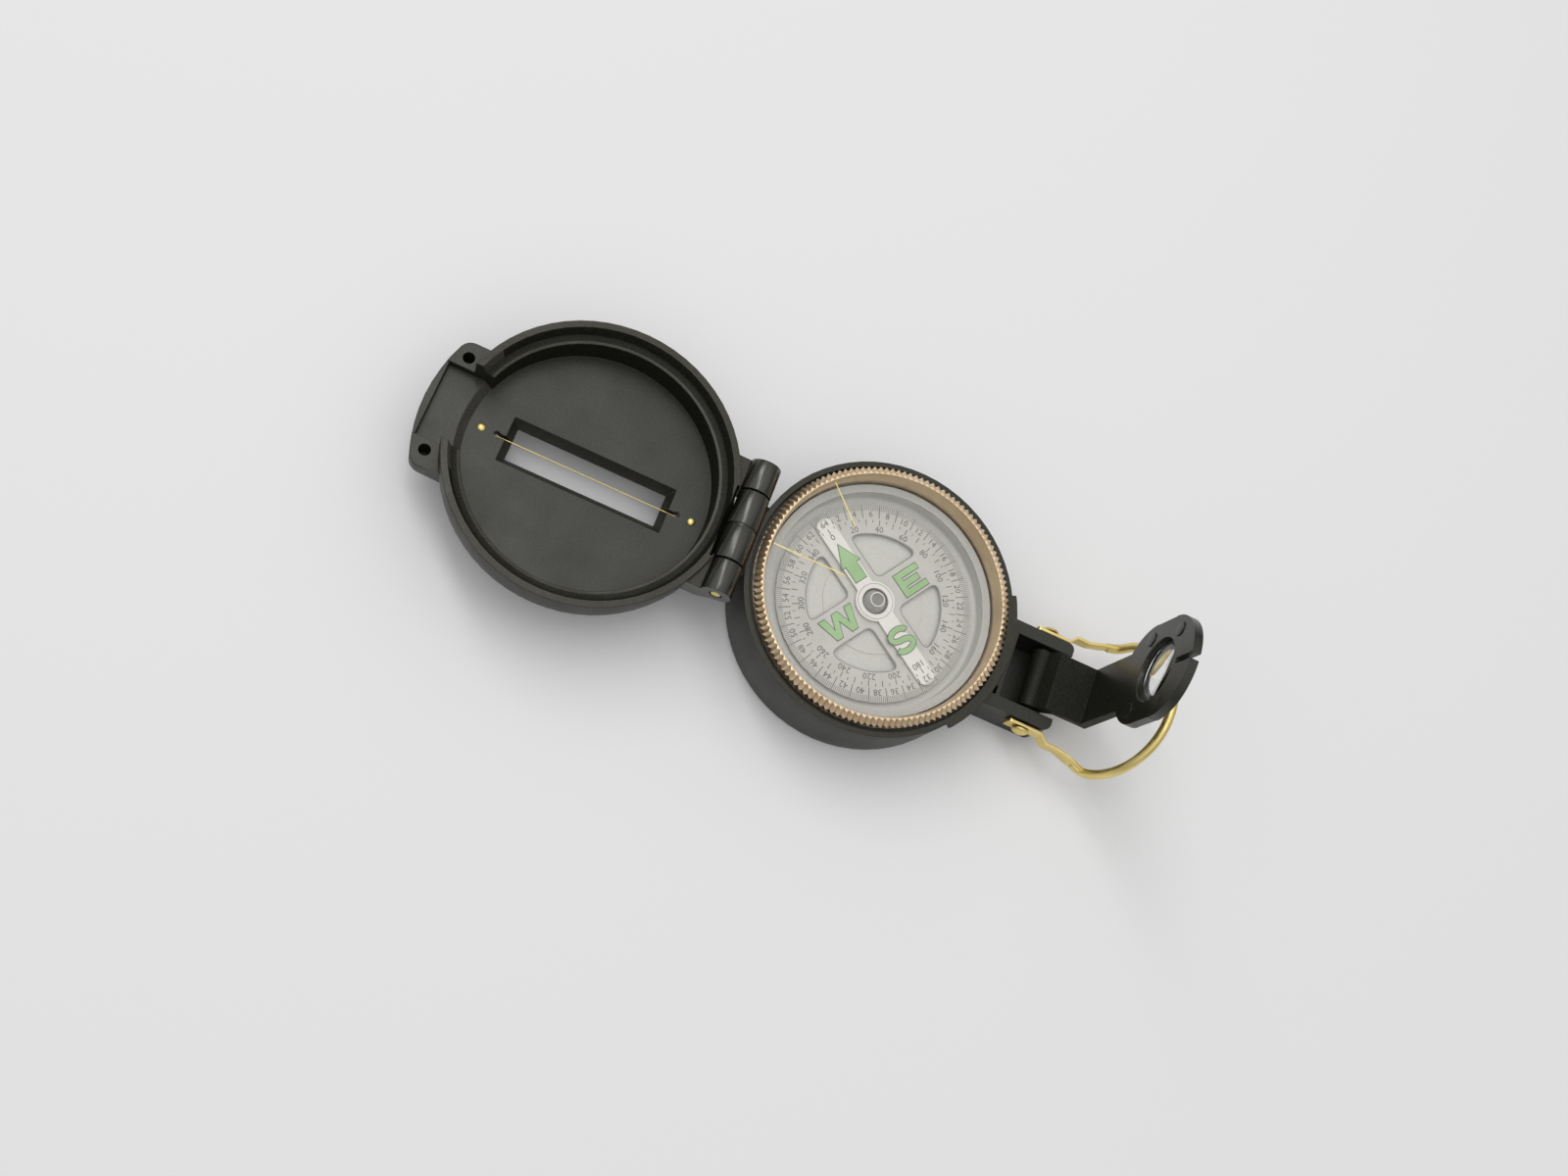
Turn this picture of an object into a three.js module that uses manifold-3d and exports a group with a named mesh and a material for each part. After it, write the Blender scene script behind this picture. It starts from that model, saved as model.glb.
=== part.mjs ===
// A lensatic pocket compass lying open: the cover is turned right over, the eyepiece is raised.
// The origin is the middle of the base's underside, +Z is up and +X points to the eyepiece.
import * as THREE from 'three';
import { mergeVertices } from 'three/addons/utils/BufferGeometryUtils.js';
import Module from 'manifold-3d';

const wasm = await Module();
wasm.setup();

// Clearances
const FIT_GAP = 0.3; // between pieces that are fixed to each other
const RUN_GAP = 0.3; // between pieces that turn past each other
const PARTING_GAP = 0.3; // between the closed cover's rim and the base's rim
const FOLD_GAP = 0.35; // between the folded eyepiece and the bezel

// Facets
const ROUND_LARGE = 64;
const ROUND_MIDDLE = 40;
const ROUND_SMALL = 20;
const FILLET_STEPS = 4;
const CUT_MARGIN = 1; // how far a cutting body reaches past the face it cuts

// Card, magnet and pivot
const CARD_RADIUS = 20.3;
const CARD_THICKNESS = 0.4;
const CARD_NORTH_DEG = 145.6; // direction of the card's north mark
const WINDOW_EDGE = 3.6; // distance of a window's straight edges from the card's two axes
const WINDOW_RADIUS = 14.1;
const WINDOW_CORNER = 1.6;
const MAGNET_LENGTH = 39;
const MAGNET_WIDTH = 3.8;
const MAGNET_THICKNESS = 0.5;
const MAGNET_RING_WALL = 1.4;
const JEWEL_RADIUS = 2.4;
const JEWEL_TOP_RADIUS = 1.55;
const JEWEL_SKIRT = 0.5;
const JEWEL_RISE = 2.2; // top of the jewel cup above the card
const JEWEL_CROWN = 0.9; // material over the point of the cup's cone
const JEWEL_CONE_RADIUS = 1.2;
const NEEDLE_RADIUS = 0.6;
const NEEDLE_POINT = 1.6;
const NEEDLE_SET = 1; // depth of the needle in the capsule's floor

// Capsule
const CARD_SIDE_ROOM = 1.8;
const CARD_HEIGHT = 0.6; // underside of the card above the capsule's floor
const CAPSULE_WALL = 1.6;
const CAPSULE_FLOOR = 1.6;
const BOSS_RADIUS = 10.4;
const BOSS_HEIGHT = 0.2;
const GASKET_THICKNESS = 0.5;
const JEWEL_HEADROOM = 0.6;
const LID_THICKNESS = 1.2;

// Bezel and crystal
const BEZEL_SIDE_ROOM = 0.3; // between the capsule and the bezel's bore
const BEZEL_WALL = 1.6;
const BEZEL_SKIRT = 3.6; // depth of the bezel below the base's rim
const BEZEL_LIFT = 1.3; // underside of the knurl above the base's rim
const KNURL_HEIGHT = 1.13;
const KNURL_REACH = 0.8; // radius of the knurl's lower edge over that of the skirt
const KNURL_CREST = 0.3; // flat crest between the crystal's seat and the ribs
const KNURL_DEPTH = 0.4;
const KNURL_TEETH = 130;
const CRYSTAL_LEDGE = 0.45;
const CRYSTAL_THICKNESS = 0.9;
const CRYSTAL_DROP = 0.15; // crystal's face below the top of the bezel
const SNAP_WIDTH = 0.9;
const SNAP_HEIGHT = 0.8;
const SNAP_DROP = 2.4; // middle of the snap ring below the base's rim
const SNAP_SPLIT_DEG = 14;

// Base
const BASE_WALL = 2;
const BASE_FLOOR = 2;
const BASE_FOOT = 0.8; // rounding of the foot
const RIM_ABOVE_LID = 0.5;
const LIP_GAP = 0.3; // open groove between the knurl and the rim
const LIP_DEPTH = 1.1;
const PEDESTAL_HEIGHT = 5.9; // ring on the base's floor that the capsule rests on
const PEDESTAL_WIDTH = 3;
const SEAT_WALL = 1.2;
const SEAT_RISE = 2.7; // ring round the capsule, above the pedestal
const CHANNEL_WIDTH = 1.2; // hollow between that ring and the outer wall
const FLANGE_REACH = 0.9; // finger flange on the eyepiece's side of the rim
const FLANGE_HEIGHT = 1.4;
const FLANGE_FROM_DEG = -41;
const FLANGE_TO_DEG = 25;

// Cover hinge
const HINGE_RADIUS = 3.1;
const HINGE_RISE = 1.53; // hinge axis above the base's rim
const HINGE_OUT = 2.27; // hinge axis outside the cover's rim
const HINGE_MIDDLE = 14.6;
const HINGE_END = 6.5;
const KNUCKLE_GAP = 0.35;
const MOULD_LINE_WIDTH = 0.3; // groove round the middle knuckle
const MOULD_LINE_DEPTH = 0.25;
const NOTCH_GAP = 1; // between the middle knuckle and the notch in the cover's wall
const HINGE_PIN_RADIUS = 1;
const WEB_DROP = 1.2; // knuckle webs below the cover's rim
const WEB_DEPTH = 6.4;
const BASE_WEB_DEPTH = 8;

// Cover
const COVER_OVERHANG = 0.6; // cover's radius over the base's
const COVER_RIM = 1.4;
const COVER_LEAN = 0.65; // inner wall's lean from the rim down to the ledge
const LEDGE_SLOPE = 1.15; // width of the ledge's sloping outer part
const LEDGE_FALL = 0.38; // its height
const COVER_LEDGE = 0.63; // flat part of the ledge
const COVER_DRAFT = 0.1;
const COVER_FLOOR = 2.1;
const COVER_ROUND = 5.2;
const LEDGE_HEADROOM = 0.45;
const COVER_HEADROOM = 3.25;
const SLOT_LENGTH = 34.1;
const SLOT_WIDTH = 9.64;
const SLOT_TAPER = 1.5; // how far the slot's walls lean in towards the outer face
const WIRE_RADIUS = 0.15;
const WIRE_GROOVE = 0.7;
const ANCHOR_RADIUS = 0.7;
const ANCHOR_OUT = 1.75; // wire anchors beyond the slot's ends
const WIRE_PIN_RADIUS = 0.9;
const WIRE_PIN_RISE = 0.35;
const WIRE_PIN_DEPTH = 1.2;
const WIRE_PIN_OUT = 4.95;

// Tab at the cover's free end
const TAB_REACH = 5.3;
const TAB_WIDTH = 27.2;
const TAB_CORNER = 2.6;
const TAB_ROUND = 2.4;
const TAB_INSET = 0.2; // outer face of the tab below the cover's outer face
const LUG_DROP = 4.4; // faces of the two lugs below the cover's rim
const LUG_HOLE_RADIUS = 1.2;
const LUG_HOLE_OUT = 0.86;
const LUG_HOLE_SIDE = 2.2;
const LUG_HOLE_FLOOR = 1.2; // plastic left under the blind holes of the lugs
const CHANNEL_SIDE = 1.9; // channel's walls beside the folded eyepiece
const CHANNEL_HEADROOM = 2;
const CHANNEL_RAMP = 1.4; // slope from the channel's floor down to the cover's floor
const TAB_WALL = 1.5;
const TAB_WALL_HEADROOM = 0.5;

// Ears that carry the eyepiece
const EAR_HEIGHT = 10.3;
const EAR_THICKNESS = 2.7;
const EAR_SIDE_ROOM = 0.85;
const EAR_END = 5.15; // end of the ears beyond the pin
const EAR_CORNER = 1.8;
const PIN_OUT = 9.95; // eyepiece pin outside the base
const PIN_BELOW_TOP = 2.6;
const PIN_RADIUS = 1;
const PIN_HEAD_RADIUS = 1.8;
const PIN_HEAD_HEIGHT = 1;
const SHELF_REACH = 2.9;
const SHELF_NOTCH_LENGTH = 1.9;
const SHELF_NOTCH_WIDTH = 1.7;
const SHELF_NOTCH_DEPTH = 3;
const WELL_FLOOR = 1.8;

// Eyepiece
const EYE_WIDTH = 12.26;
const EYE_BARREL_RADIUS = 2.3;
const ARM_RISE = 4.3;
const ARM_THICKNESS = 1.8;
const ARM_SETBACK = 2.35;
const PLATE_THICKNESS = 1.8;
const PLATE_RADIUS = 10.4;
const PLATE_STRAIGHT = 6.9;
const PLATE_RISE = 23.4; // lower round of the plate above the arm
const LENS_RISE = 4.1; // lens above the lower round's centre
const LENS_RADIUS = 5.5;
const LENS_EDGE = 0.8;
const LENS_BULGE = 0.5;
const LENS_RECESS = 0.95;
const LENS_STEP = 0.7; // counterbore's radius over that of the lens bore
const LENS_BOSS_WALL = 1.5;
const LENS_BOSS_HEIGHT = 0.9;
const LENS_RING_WALL = 0.8;
const LENS_RING_HEIGHT = 0.5;
const NOTCH_WIDTH = 1.2;
const NOTCH_DEPTH = 5.8;

// Thumb loop
const LOOP_WIRE_RADIUS = 1;
const LOOP_STRAP_THICKNESS = 0.7;
const LOOP_EYE_HALF = 1.8;
const LOOP_EYE_BACK = 3.3;
const LOOP_EYE_FRONT = 4;
const LOOP_EYE_CORNER = 0.6;
const LOOP_JOG_START = 4;
const LOOP_JOG_END = 5.6;
const LOOP_JOG_OUT = 1.55;
const LOOP_NECK = 8.4; // narrow place of a strap, where it starts to spread
const LOOP_NECK_HALF = 1.5;
const LOOP_BAND = 11.4;
const LOOP_BAND_HALF = 1.9;
const LOOP_STRAP = 15.1; // from the pin to the corners
const LOOP_LAP = 2.5; // length of the strap that the round wire runs into
const LOOP_BOW_RADIUS = 14.3;
const LOOP_BOW_RISE = 3.5; // bow's centre beyond the corners
const LOOP_BOW_DEG = 64;
const LOOP_STEPS = 48;
const LOOP_SIDES = 10;

// Heights that follow from the stack inside the base
const pedestalTop = BASE_FLOOR + PEDESTAL_HEIGHT;
const capsuleBottom = pedestalTop + FIT_GAP;
const capsuleFloor = capsuleBottom + CAPSULE_FLOOR;
const cardBottom = capsuleFloor + CARD_HEIGHT;
const cardTop = cardBottom + CARD_THICKNESS;
const jewelTop = cardTop + JEWEL_RISE;
const lidBottom = jewelTop + JEWEL_HEADROOM;
const lidTop = lidBottom + LID_THICKNESS;
const baseHeight = lidTop + RIM_ABOVE_LID;
const knurlBottom = baseHeight + BEZEL_LIFT;
const bezelTop = knurlBottom + KNURL_HEIGHT;

// Radii that follow from the card outwards
const capsuleBore = CARD_RADIUS + CARD_SIDE_ROOM;
const capsuleRadius = capsuleBore + CAPSULE_WALL;
const bezelBore = capsuleRadius + BEZEL_SIDE_ROOM;
const skirtRadius = bezelBore + BEZEL_WALL;
const knurlRadius = skirtRadius + KNURL_REACH;
const baseBore = skirtRadius + RUN_GAP;
const baseRadius = baseBore + BASE_WALL;
const coverRadius = baseRadius + COVER_OVERHANG;

// Snap ring, half in the bezel's groove and half in the base's
const snapMiddle = (skirtRadius + baseBore) / 2;
const snapInner = snapMiddle - SNAP_WIDTH / 2;
const snapOuter = snapMiddle + SNAP_WIDTH / 2;
const snapZ = baseHeight - SNAP_DROP;
const grooveHalf = SNAP_HEIGHT / 2 + RUN_GAP;

// Hinge and eyepiece pin
const hingeX = -(coverRadius + HINGE_OUT);
const hingeZ = baseHeight + HINGE_RISE;
const hingeHalf = HINGE_MIDDLE / 2 + KNUCKLE_GAP + HINGE_END;
const pinX = baseRadius + PIN_OUT;
const pinZ = EAR_HEIGHT - PIN_BELOW_TOP;
const eyeHalf = EYE_WIDTH / 2;
const earInner = eyeHalf + EAR_SIDE_ROOM;
const earOuter = earInner + EAR_THICKNESS;
const plateFront = pinX + bezelTop + FOLD_GAP - pinZ;
const armTop = pinZ + ARM_RISE;
const lowerRoundZ = armTop + PLATE_RISE;
const lensZ = lowerRoundZ + LENS_RISE;
const lensBore = LENS_RADIUS + FIT_GAP;

// Cover depths, measured from its rim towards its outer face
const closedRim = baseHeight + PARTING_GAP;
const foldedBack = bezelTop + FOLD_GAP + PLATE_THICKNESS - closedRim;
const ledgeDepth = bezelTop - closedRim + LEDGE_HEADROOM;
const floorDepth = foldedBack + LENS_BOSS_HEIGHT + COVER_HEADROOM;
const coverDepth = floorDepth + COVER_FLOOR;
const channelHalf = eyeHalf + CHANNEL_SIDE;
const slotHalf = SLOT_LENGTH / 2;

// Materials
function finish(color, roughness, metalness) {
  return new THREE.MeshStandardMaterial({ color, roughness, metalness });
}

const blackPlastic = finish(0x2b2a28, 0.6, 0);
const clearPlastic = finish(0xd5d6d2, 0.1, 0);
const brass = finish(0xc9a954, 0.35, 1);
const bronze = finish(0xc39a6c, 0.3, 1);
const dialGrey = finish(0xc2c0b9, 0.55, 0);
const whitePaint = finish(0xe8e4de, 0.5, 0);
const steel = finish(0xa9abae, 0.3, 1);
const rubber = finish(0xa8a8a4, 0.8, 0);
const glass = finish(0xe4eaea, 0.05, 0);

// Solids and booleans
function solid(geometry) {
  geometry.deleteAttribute('normal');
  geometry.deleteAttribute('uv');
  const merged = mergeVertices(geometry, 1e-4);
  const index = merged.index.array;
  const faces = [];
  for (let i = 0; i < index.length; i += 3) {
    const [a, b, c] = [index[i], index[i + 1], index[i + 2]];
    if (a !== b && b !== c && c !== a) faces.push(a, b, c);
  }
  const vertProperties = new Float32Array(merged.attributes.position.array);
  const mesh = new wasm.Mesh({ numProp: 3, vertProperties, triVerts: new Uint32Array(faces) });
  return new wasm.Manifold(mesh);
}

function geometryOf(body) {
  const { vertProperties, triVerts } = body.getMesh();
  const geometry = new THREE.BufferGeometry();
  geometry.setAttribute('position', new THREE.BufferAttribute(new Float32Array(vertProperties), 3));
  geometry.setIndex(new THREE.BufferAttribute(new Uint32Array(triVerts), 1));
  geometry.computeVertexNormals();
  return geometry;
}

function points(pairs) {
  return pairs.map(([x, y]) => new THREE.Vector2(x, y));
}

// A body of revolution about Z from pairs of radius and height, counterclockwise from the lower axis point.
function turned(pairs, facets) {
  return solid(new THREE.LatheGeometry(points(pairs), facets).rotateX(Math.PI / 2));
}

// A ring of rectangular section about Z.
function ring(inner, outer, low, high, facets) {
  const section = [[inner, low], [outer, low], [outer, high], [inner, high], [inner, low]];
  return turned(section, facets);
}

function disc(radius, low, high, facets) {
  return turned([[0, low], [radius, low], [radius, high], [0, high]], facets);
}

// Points of a quarter round, from one angle to another in degrees.
function arc(x, y, radius, from, to, steps) {
  return Array.from({ length: steps + 1 }, (_, i) => {
    const angle = THREE.MathUtils.degToRad(from + ((to - from) * i) / steps);
    return [x + radius * Math.cos(angle), y + radius * Math.sin(angle)];
  });
}

// A plan outline raised from one height to another.
function raised(shape, low, high) {
  const depth = high - low;
  const settings = { depth, bevelEnabled: false, curveSegments: ROUND_SMALL };
  return solid(new THREE.ExtrudeGeometry(shape, settings).translate(0, 0, low));
}

// A side outline of x and z, carried across from one y to another.
function across(pairs, low, high) {
  const settings = { depth: high - low, bevelEnabled: false };
  const geometry = new THREE.ExtrudeGeometry(new THREE.Shape(points(pairs)), settings);
  return solid(geometry.rotateX(Math.PI / 2).translate(0, high, 0));
}

// A front outline of y and z, carried along from one x to another.
function along(shape, low, high) {
  const settings = { depth: high - low, bevelEnabled: false, curveSegments: ROUND_SMALL };
  const geometry = new THREE.ExtrudeGeometry(shape, settings);
  return solid(geometry.rotateX(Math.PI / 2).rotateZ(Math.PI / 2).translate(low, 0, 0));
}

function block(xLow, xHigh, yLow, yHigh, zLow, zHigh) {
  const geometry = new THREE.BoxGeometry(xHigh - xLow, yHigh - yLow, zHigh - zLow);
  return solid(geometry.translate((xLow + xHigh) / 2, (yLow + yHigh) / 2, (zLow + zHigh) / 2));
}

function rodAcross(radius, x, z, yLow, yHigh, facets) {
  const geometry = new THREE.CylinderGeometry(radius, radius, yHigh - yLow, facets);
  return solid(geometry.translate(x, (yLow + yHigh) / 2, z));
}

function rodAlong(radius, y, z, xLow, xHigh, facets) {
  const geometry = new THREE.CylinderGeometry(radius, radius, xHigh - xLow, facets);
  return solid(geometry.rotateZ(Math.PI / 2).translate((xLow + xHigh) / 2, y, z));
}

function rodUp(radius, x, y, zLow, zHigh, facets) {
  const geometry = new THREE.CylinderGeometry(radius, radius, zHigh - zLow, facets);
  return solid(geometry.rotateX(Math.PI / 2).translate(x, y, (zLow + zHigh) / 2));
}

function joined(...bodies) {
  return bodies.reduce((sum, body) => sum.add(body));
}

function cut(body, ...tools) {
  return tools.reduce((left, tool) => left.subtract(tool), body);
}

// The round base: floor, capsule pedestal and seat, outer wall with the snap groove, and the rim.
function baseBowl() {
  const seatBore = capsuleRadius + FIT_GAP;
  const seatRadius = seatBore + SEAT_WALL;
  const seatTop = pedestalTop + SEAT_RISE;
  const pedestalBore = seatBore - PEDESTAL_WIDTH;
  const hollowRadius = seatRadius + CHANNEL_WIDTH;
  const lipBore = knurlRadius + LIP_GAP;
  const lipFloor = baseHeight - LIP_DEPTH;
  return turned([
    [0, 0],
    ...arc(baseRadius - BASE_FOOT, BASE_FOOT, BASE_FOOT, -90, 0, FILLET_STEPS),
    [baseRadius, baseHeight],
    [lipBore, baseHeight],
    [lipBore, lipFloor],
    [baseBore, lipFloor],
    [baseBore, snapZ + grooveHalf],
    [snapOuter + FIT_GAP, snapZ + grooveHalf],
    [snapOuter + FIT_GAP, snapZ - grooveHalf],
    [baseBore, snapZ - grooveHalf],
    [baseBore, seatTop],
    [hollowRadius, seatTop],
    [hollowRadius, BASE_FLOOR],
    [seatRadius, BASE_FLOOR],
    [seatRadius, seatTop],
    [seatBore, seatTop],
    [seatBore, pedestalTop],
    [pedestalBore, pedestalTop],
    [pedestalBore, BASE_FLOOR],
    [0, BASE_FLOOR],
  ], ROUND_LARGE);
}

// One ear: a straight bar from the base's wall, its outer end corner rounded.
function ear(side) {
  const root = Math.sqrt((baseRadius - BASE_WALL / 2) ** 2 - earOuter ** 2);
  const end = pinX + EAR_END;
  const shape = new THREE.Shape();
  shape.moveTo(root, side * earInner);
  shape.lineTo(end, side * earInner);
  shape.lineTo(end, side * (earOuter - EAR_CORNER));
  shape.quadraticCurveTo(end, side * earOuter, end - EAR_CORNER, side * earOuter);
  shape.lineTo(root, side * earOuter);
  shape.closePath();
  return raised(shape, 0, EAR_HEIGHT);
}

// A finger flange: a low ring on the rim, kept only in a wedge towards the eyepiece.
function rimFlange() {
  const outside = baseRadius + FLANGE_REACH;
  const low = baseHeight - FLANGE_HEIGHT;
  const full = ring(baseRadius - BASE_WALL / 2, outside, low, baseHeight, ROUND_LARGE);
  const far = outside + CUT_MARGIN;
  const side = (turn) => far * Math.tan(THREE.MathUtils.degToRad(turn));
  const wedge = new THREE.Shape(points([[0, 0], [far, side(FLANGE_FROM_DEG)], [far, side(FLANGE_TO_DEG)]]));
  return full.intersect(raised(wedge, low - CUT_MARGIN, baseHeight + CUT_MARGIN));
}

// The hinge's middle knuckle with the line of the mould's two halves round it.
function middleKnuckle() {
  const half = MOULD_LINE_WIDTH / 2;
  const line = ring(HINGE_RADIUS - MOULD_LINE_DEPTH, HINGE_RADIUS + CUT_MARGIN, -half, half, ROUND_MIDDLE);
  const rod = rodAcross(HINGE_RADIUS, hingeX, hingeZ, -HINGE_MIDDLE / 2, HINGE_MIDDLE / 2, ROUND_MIDDLE);
  return cut(rod, line.rotate([90, 0, 0]).translate([hingeX, 0, hingeZ]));
}

function baseCase() {
  const middle = HINGE_MIDDLE / 2;
  const wallMiddle = baseRadius - BASE_WALL / 2;
  const web = across([
    [hingeX - HINGE_RADIUS / 2, hingeZ - HINGE_RADIUS],
    [-wallMiddle, baseHeight - BASE_WEB_DEPTH],
    [-wallMiddle, baseHeight - FIT_GAP],
    [hingeX + HINGE_RADIUS / 2, hingeZ],
    [hingeX - HINGE_RADIUS / 2, hingeZ],
  ], -middle, middle);
  const shelf = block(wallMiddle, baseRadius + SHELF_REACH, -earInner, earInner, 0, EAR_HEIGHT);
  const wellFloor = block(wallMiddle, pinX + EAR_END, -earInner, earInner, 0, WELL_FLOOR);
  const notchTop = EAR_HEIGHT + CUT_MARGIN;
  const notchEnd = baseRadius + SHELF_NOTCH_LENGTH;
  const notchSide = SHELF_NOTCH_WIDTH - earInner;
  const notch = block(baseRadius, notchEnd, -earInner, notchSide, EAR_HEIGHT - SHELF_NOTCH_DEPTH, notchTop);
  const bore = HINGE_PIN_RADIUS + FIT_GAP;
  const earBore = PIN_RADIUS + FIT_GAP;
  const reach = earOuter + CUT_MARGIN;
  return cut(
    joined(baseBowl(), rimFlange(), ear(1), ear(-1), cut(shelf, notch), wellFloor, middleKnuckle(), web),
    rodAcross(bore, hingeX, hingeZ, -middle - CUT_MARGIN, middle + CUT_MARGIN, ROUND_SMALL),
    rodAcross(earBore, pinX, pinZ, -reach, reach, ROUND_SMALL),
  );
}

function hingePin() {
  return rodAcross(HINGE_PIN_RADIUS, hingeX, hingeZ, -hingeHalf, hingeHalf, ROUND_SMALL);
}

// The pin through both ears, with a low dome at each end outside the thumb loop's eyes.
function eyepiecePin() {
  const shank = earOuter + 2 * RUN_GAP + LOOP_STRAP_THICKNESS;
  const head = arc(0, 0, 1, 0, 90, FILLET_STEPS)
    .map(([side, up]) => [PIN_HEAD_RADIUS * side, shank + PIN_HEAD_HEIGHT * up]);
  head[FILLET_STEPS][0] = 0;
  const upper = [[PIN_RADIUS, shank], ...head];
  const lower = upper.map(([radius, y]) => [radius, -y]).reverse();
  const profile = [...lower, ...upper];
  return solid(new THREE.LatheGeometry(points(profile), ROUND_SMALL).translate(pinX, 0, pinZ));
}

// Capsule: cup with a raised boss in its floor, gasket, lid and pivot needle
const gasketBottom = lidBottom - FIT_GAP - GASKET_THICKNESS;
const bossTop = capsuleFloor + BOSS_HEIGHT;
const jewelBottom = cardTop - JEWEL_SKIRT;
const conePoint = jewelTop - JEWEL_CROWN;
const needleTip = conePoint - RUN_GAP;

function capsuleCup() {
  const hole = NEEDLE_RADIUS + FIT_GAP;
  const holeFloor = bossTop - NEEDLE_SET - FIT_GAP;
  return turned([
    [0, capsuleBottom],
    [capsuleRadius, capsuleBottom],
    [capsuleRadius, gasketBottom - FIT_GAP],
    [capsuleBore, gasketBottom - FIT_GAP],
    [capsuleBore, capsuleFloor],
    [BOSS_RADIUS, capsuleFloor],
    [BOSS_RADIUS, bossTop],
    [hole, bossTop],
    [hole, holeFloor],
    [0, holeFloor],
  ], ROUND_LARGE);
}

function capsuleGasket() {
  return ring(capsuleBore, capsuleRadius, gasketBottom, gasketBottom + GASKET_THICKNESS, ROUND_LARGE);
}

function capsuleLid() {
  return disc(capsuleRadius, lidBottom, lidTop, ROUND_LARGE);
}

function pivotNeedle() {
  return turned([
    [0, bossTop - NEEDLE_SET],
    [NEEDLE_RADIUS, bossTop - NEEDLE_SET],
    [NEEDLE_RADIUS, needleTip - NEEDLE_POINT],
    [0, needleTip],
  ], ROUND_SMALL);
}

// One card window in the quarter between north and west, its corners rounded.
function cardWindow(turn) {
  const near = WINDOW_EDGE + WINDOW_CORNER;
  const far = Math.sqrt(WINDOW_RADIUS ** 2 - WINDOW_EDGE ** 2);
  const start = Math.atan2(WINDOW_EDGE, far) + WINDOW_CORNER / WINDOW_RADIUS;
  const end = Math.PI / 2 - start;
  const path = new THREE.Path();
  path.moveTo(near, WINDOW_EDGE);
  path.lineTo(far - WINDOW_CORNER, WINDOW_EDGE);
  path.quadraticCurveTo(far, WINDOW_EDGE, WINDOW_RADIUS * Math.cos(start), WINDOW_RADIUS * Math.sin(start));
  path.absarc(0, 0, WINDOW_RADIUS, start, end);
  path.quadraticCurveTo(WINDOW_EDGE, far, WINDOW_EDGE, far - WINDOW_CORNER);
  path.lineTo(WINDOW_EDGE, near);
  path.quadraticCurveTo(WINDOW_EDGE, WINDOW_EDGE, near, WINDOW_EDGE);
  const middle = new THREE.Vector2();
  const spun = path.getPoints(FILLET_STEPS).map((point) => point.rotateAround(middle, turn));
  return new THREE.Path(spun.slice(0, -1));
}

function cardDisc() {
  const shape = new THREE.Shape().absarc(0, 0, CARD_RADIUS, 0, 2 * Math.PI);
  const hub = new THREE.Path().absarc(0, 0, JEWEL_RADIUS + FIT_GAP, 0, 2 * Math.PI, true);
  shape.holes.push(hub);
  const north = THREE.MathUtils.degToRad(CARD_NORTH_DEG);
  for (let quarter = 0; quarter < 4; quarter += 1) {
    shape.holes.push(cardWindow(north + (quarter * Math.PI) / 2));
  }
  return raised(shape, cardBottom, cardTop);
}

function cardMagnet() {
  const half = MAGNET_WIDTH / 2;
  const straight = MAGNET_LENGTH / 2 - half;
  const low = cardTop + FIT_GAP;
  const high = low + MAGNET_THICKNESS;
  const bore = JEWEL_RADIUS + FIT_GAP;
  const bar = new THREE.Shape();
  bar.absarc(straight, 0, half, -Math.PI / 2, Math.PI / 2);
  bar.absarc(-straight, 0, half, Math.PI / 2, (3 * Math.PI) / 2);
  bar.closePath();
  const body = joined(raised(bar, low, high), disc(bore + MAGNET_RING_WALL, low, high, ROUND_MIDDLE));
  return cut(body, rodUp(bore, 0, 0, low - CUT_MARGIN, high + CUT_MARGIN, ROUND_MIDDLE))
    .rotate([0, 0, CARD_NORTH_DEG]);
}

function jewelCup() {
  return turned([
    [0, conePoint],
    [JEWEL_CONE_RADIUS, jewelBottom],
    [JEWEL_RADIUS, jewelBottom],
    [JEWEL_RADIUS, cardTop + FIT_GAP],
    [JEWEL_TOP_RADIUS, jewelTop],
    [0, jewelTop],
  ], ROUND_SMALL);
}

// The knurl: a cone whose every second edge line is moved inwards, so that straight ribs run down it.
function knurl() {
  const crest = bezelBore + CRYSTAL_LEDGE + KNURL_CREST;
  const cone = new THREE.CylinderGeometry(crest + KNURL_DEPTH, knurlRadius, KNURL_HEIGHT, 2 * KNURL_TEETH);
  const position = cone.attributes.position;
  for (let i = 0; i < position.count; i += 1) {
    const x = position.getX(i);
    const z = position.getZ(i);
    const radius = Math.hypot(x, z);
    const line = Math.round((Math.atan2(x, z) * KNURL_TEETH) / Math.PI);
    const share = radius > 0 && line % 2 !== 0 ? 1 - KNURL_DEPTH / radius : 1;
    position.setXYZ(i, x * share, position.getY(i), z * share);
  }
  return solid(cone.rotateX(Math.PI / 2).translate(0, 0, (knurlBottom + bezelTop) / 2));
}

// The bezel ring: a skirt in the base's bore, a ribbed cone over the rim and a ledge for the crystal.
function bezelRing() {
  const seat = bezelBore + CRYSTAL_LEDGE;
  const seatFloor = bezelTop - CRYSTAL_DROP - CRYSTAL_THICKNESS - FIT_GAP;
  const grooveBottom = snapInner - RUN_GAP;
  const skirt = turned([
    [bezelBore, baseHeight - BEZEL_SKIRT],
    [skirtRadius, baseHeight - BEZEL_SKIRT],
    [skirtRadius, snapZ - grooveHalf],
    [grooveBottom, snapZ - grooveHalf],
    [grooveBottom, snapZ + grooveHalf],
    [skirtRadius, snapZ + grooveHalf],
    [skirtRadius, knurlBottom],
    [seat, bezelTop],
    [seat, seatFloor],
    [bezelBore, seatFloor],
    [bezelBore, baseHeight - BEZEL_SKIRT],
  ], ROUND_LARGE);
  const crystalWell = disc(seat, seatFloor, bezelTop + CUT_MARGIN, ROUND_LARGE);
  return joined(skirt, cut(knurl(), crystalWell));
}

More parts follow.
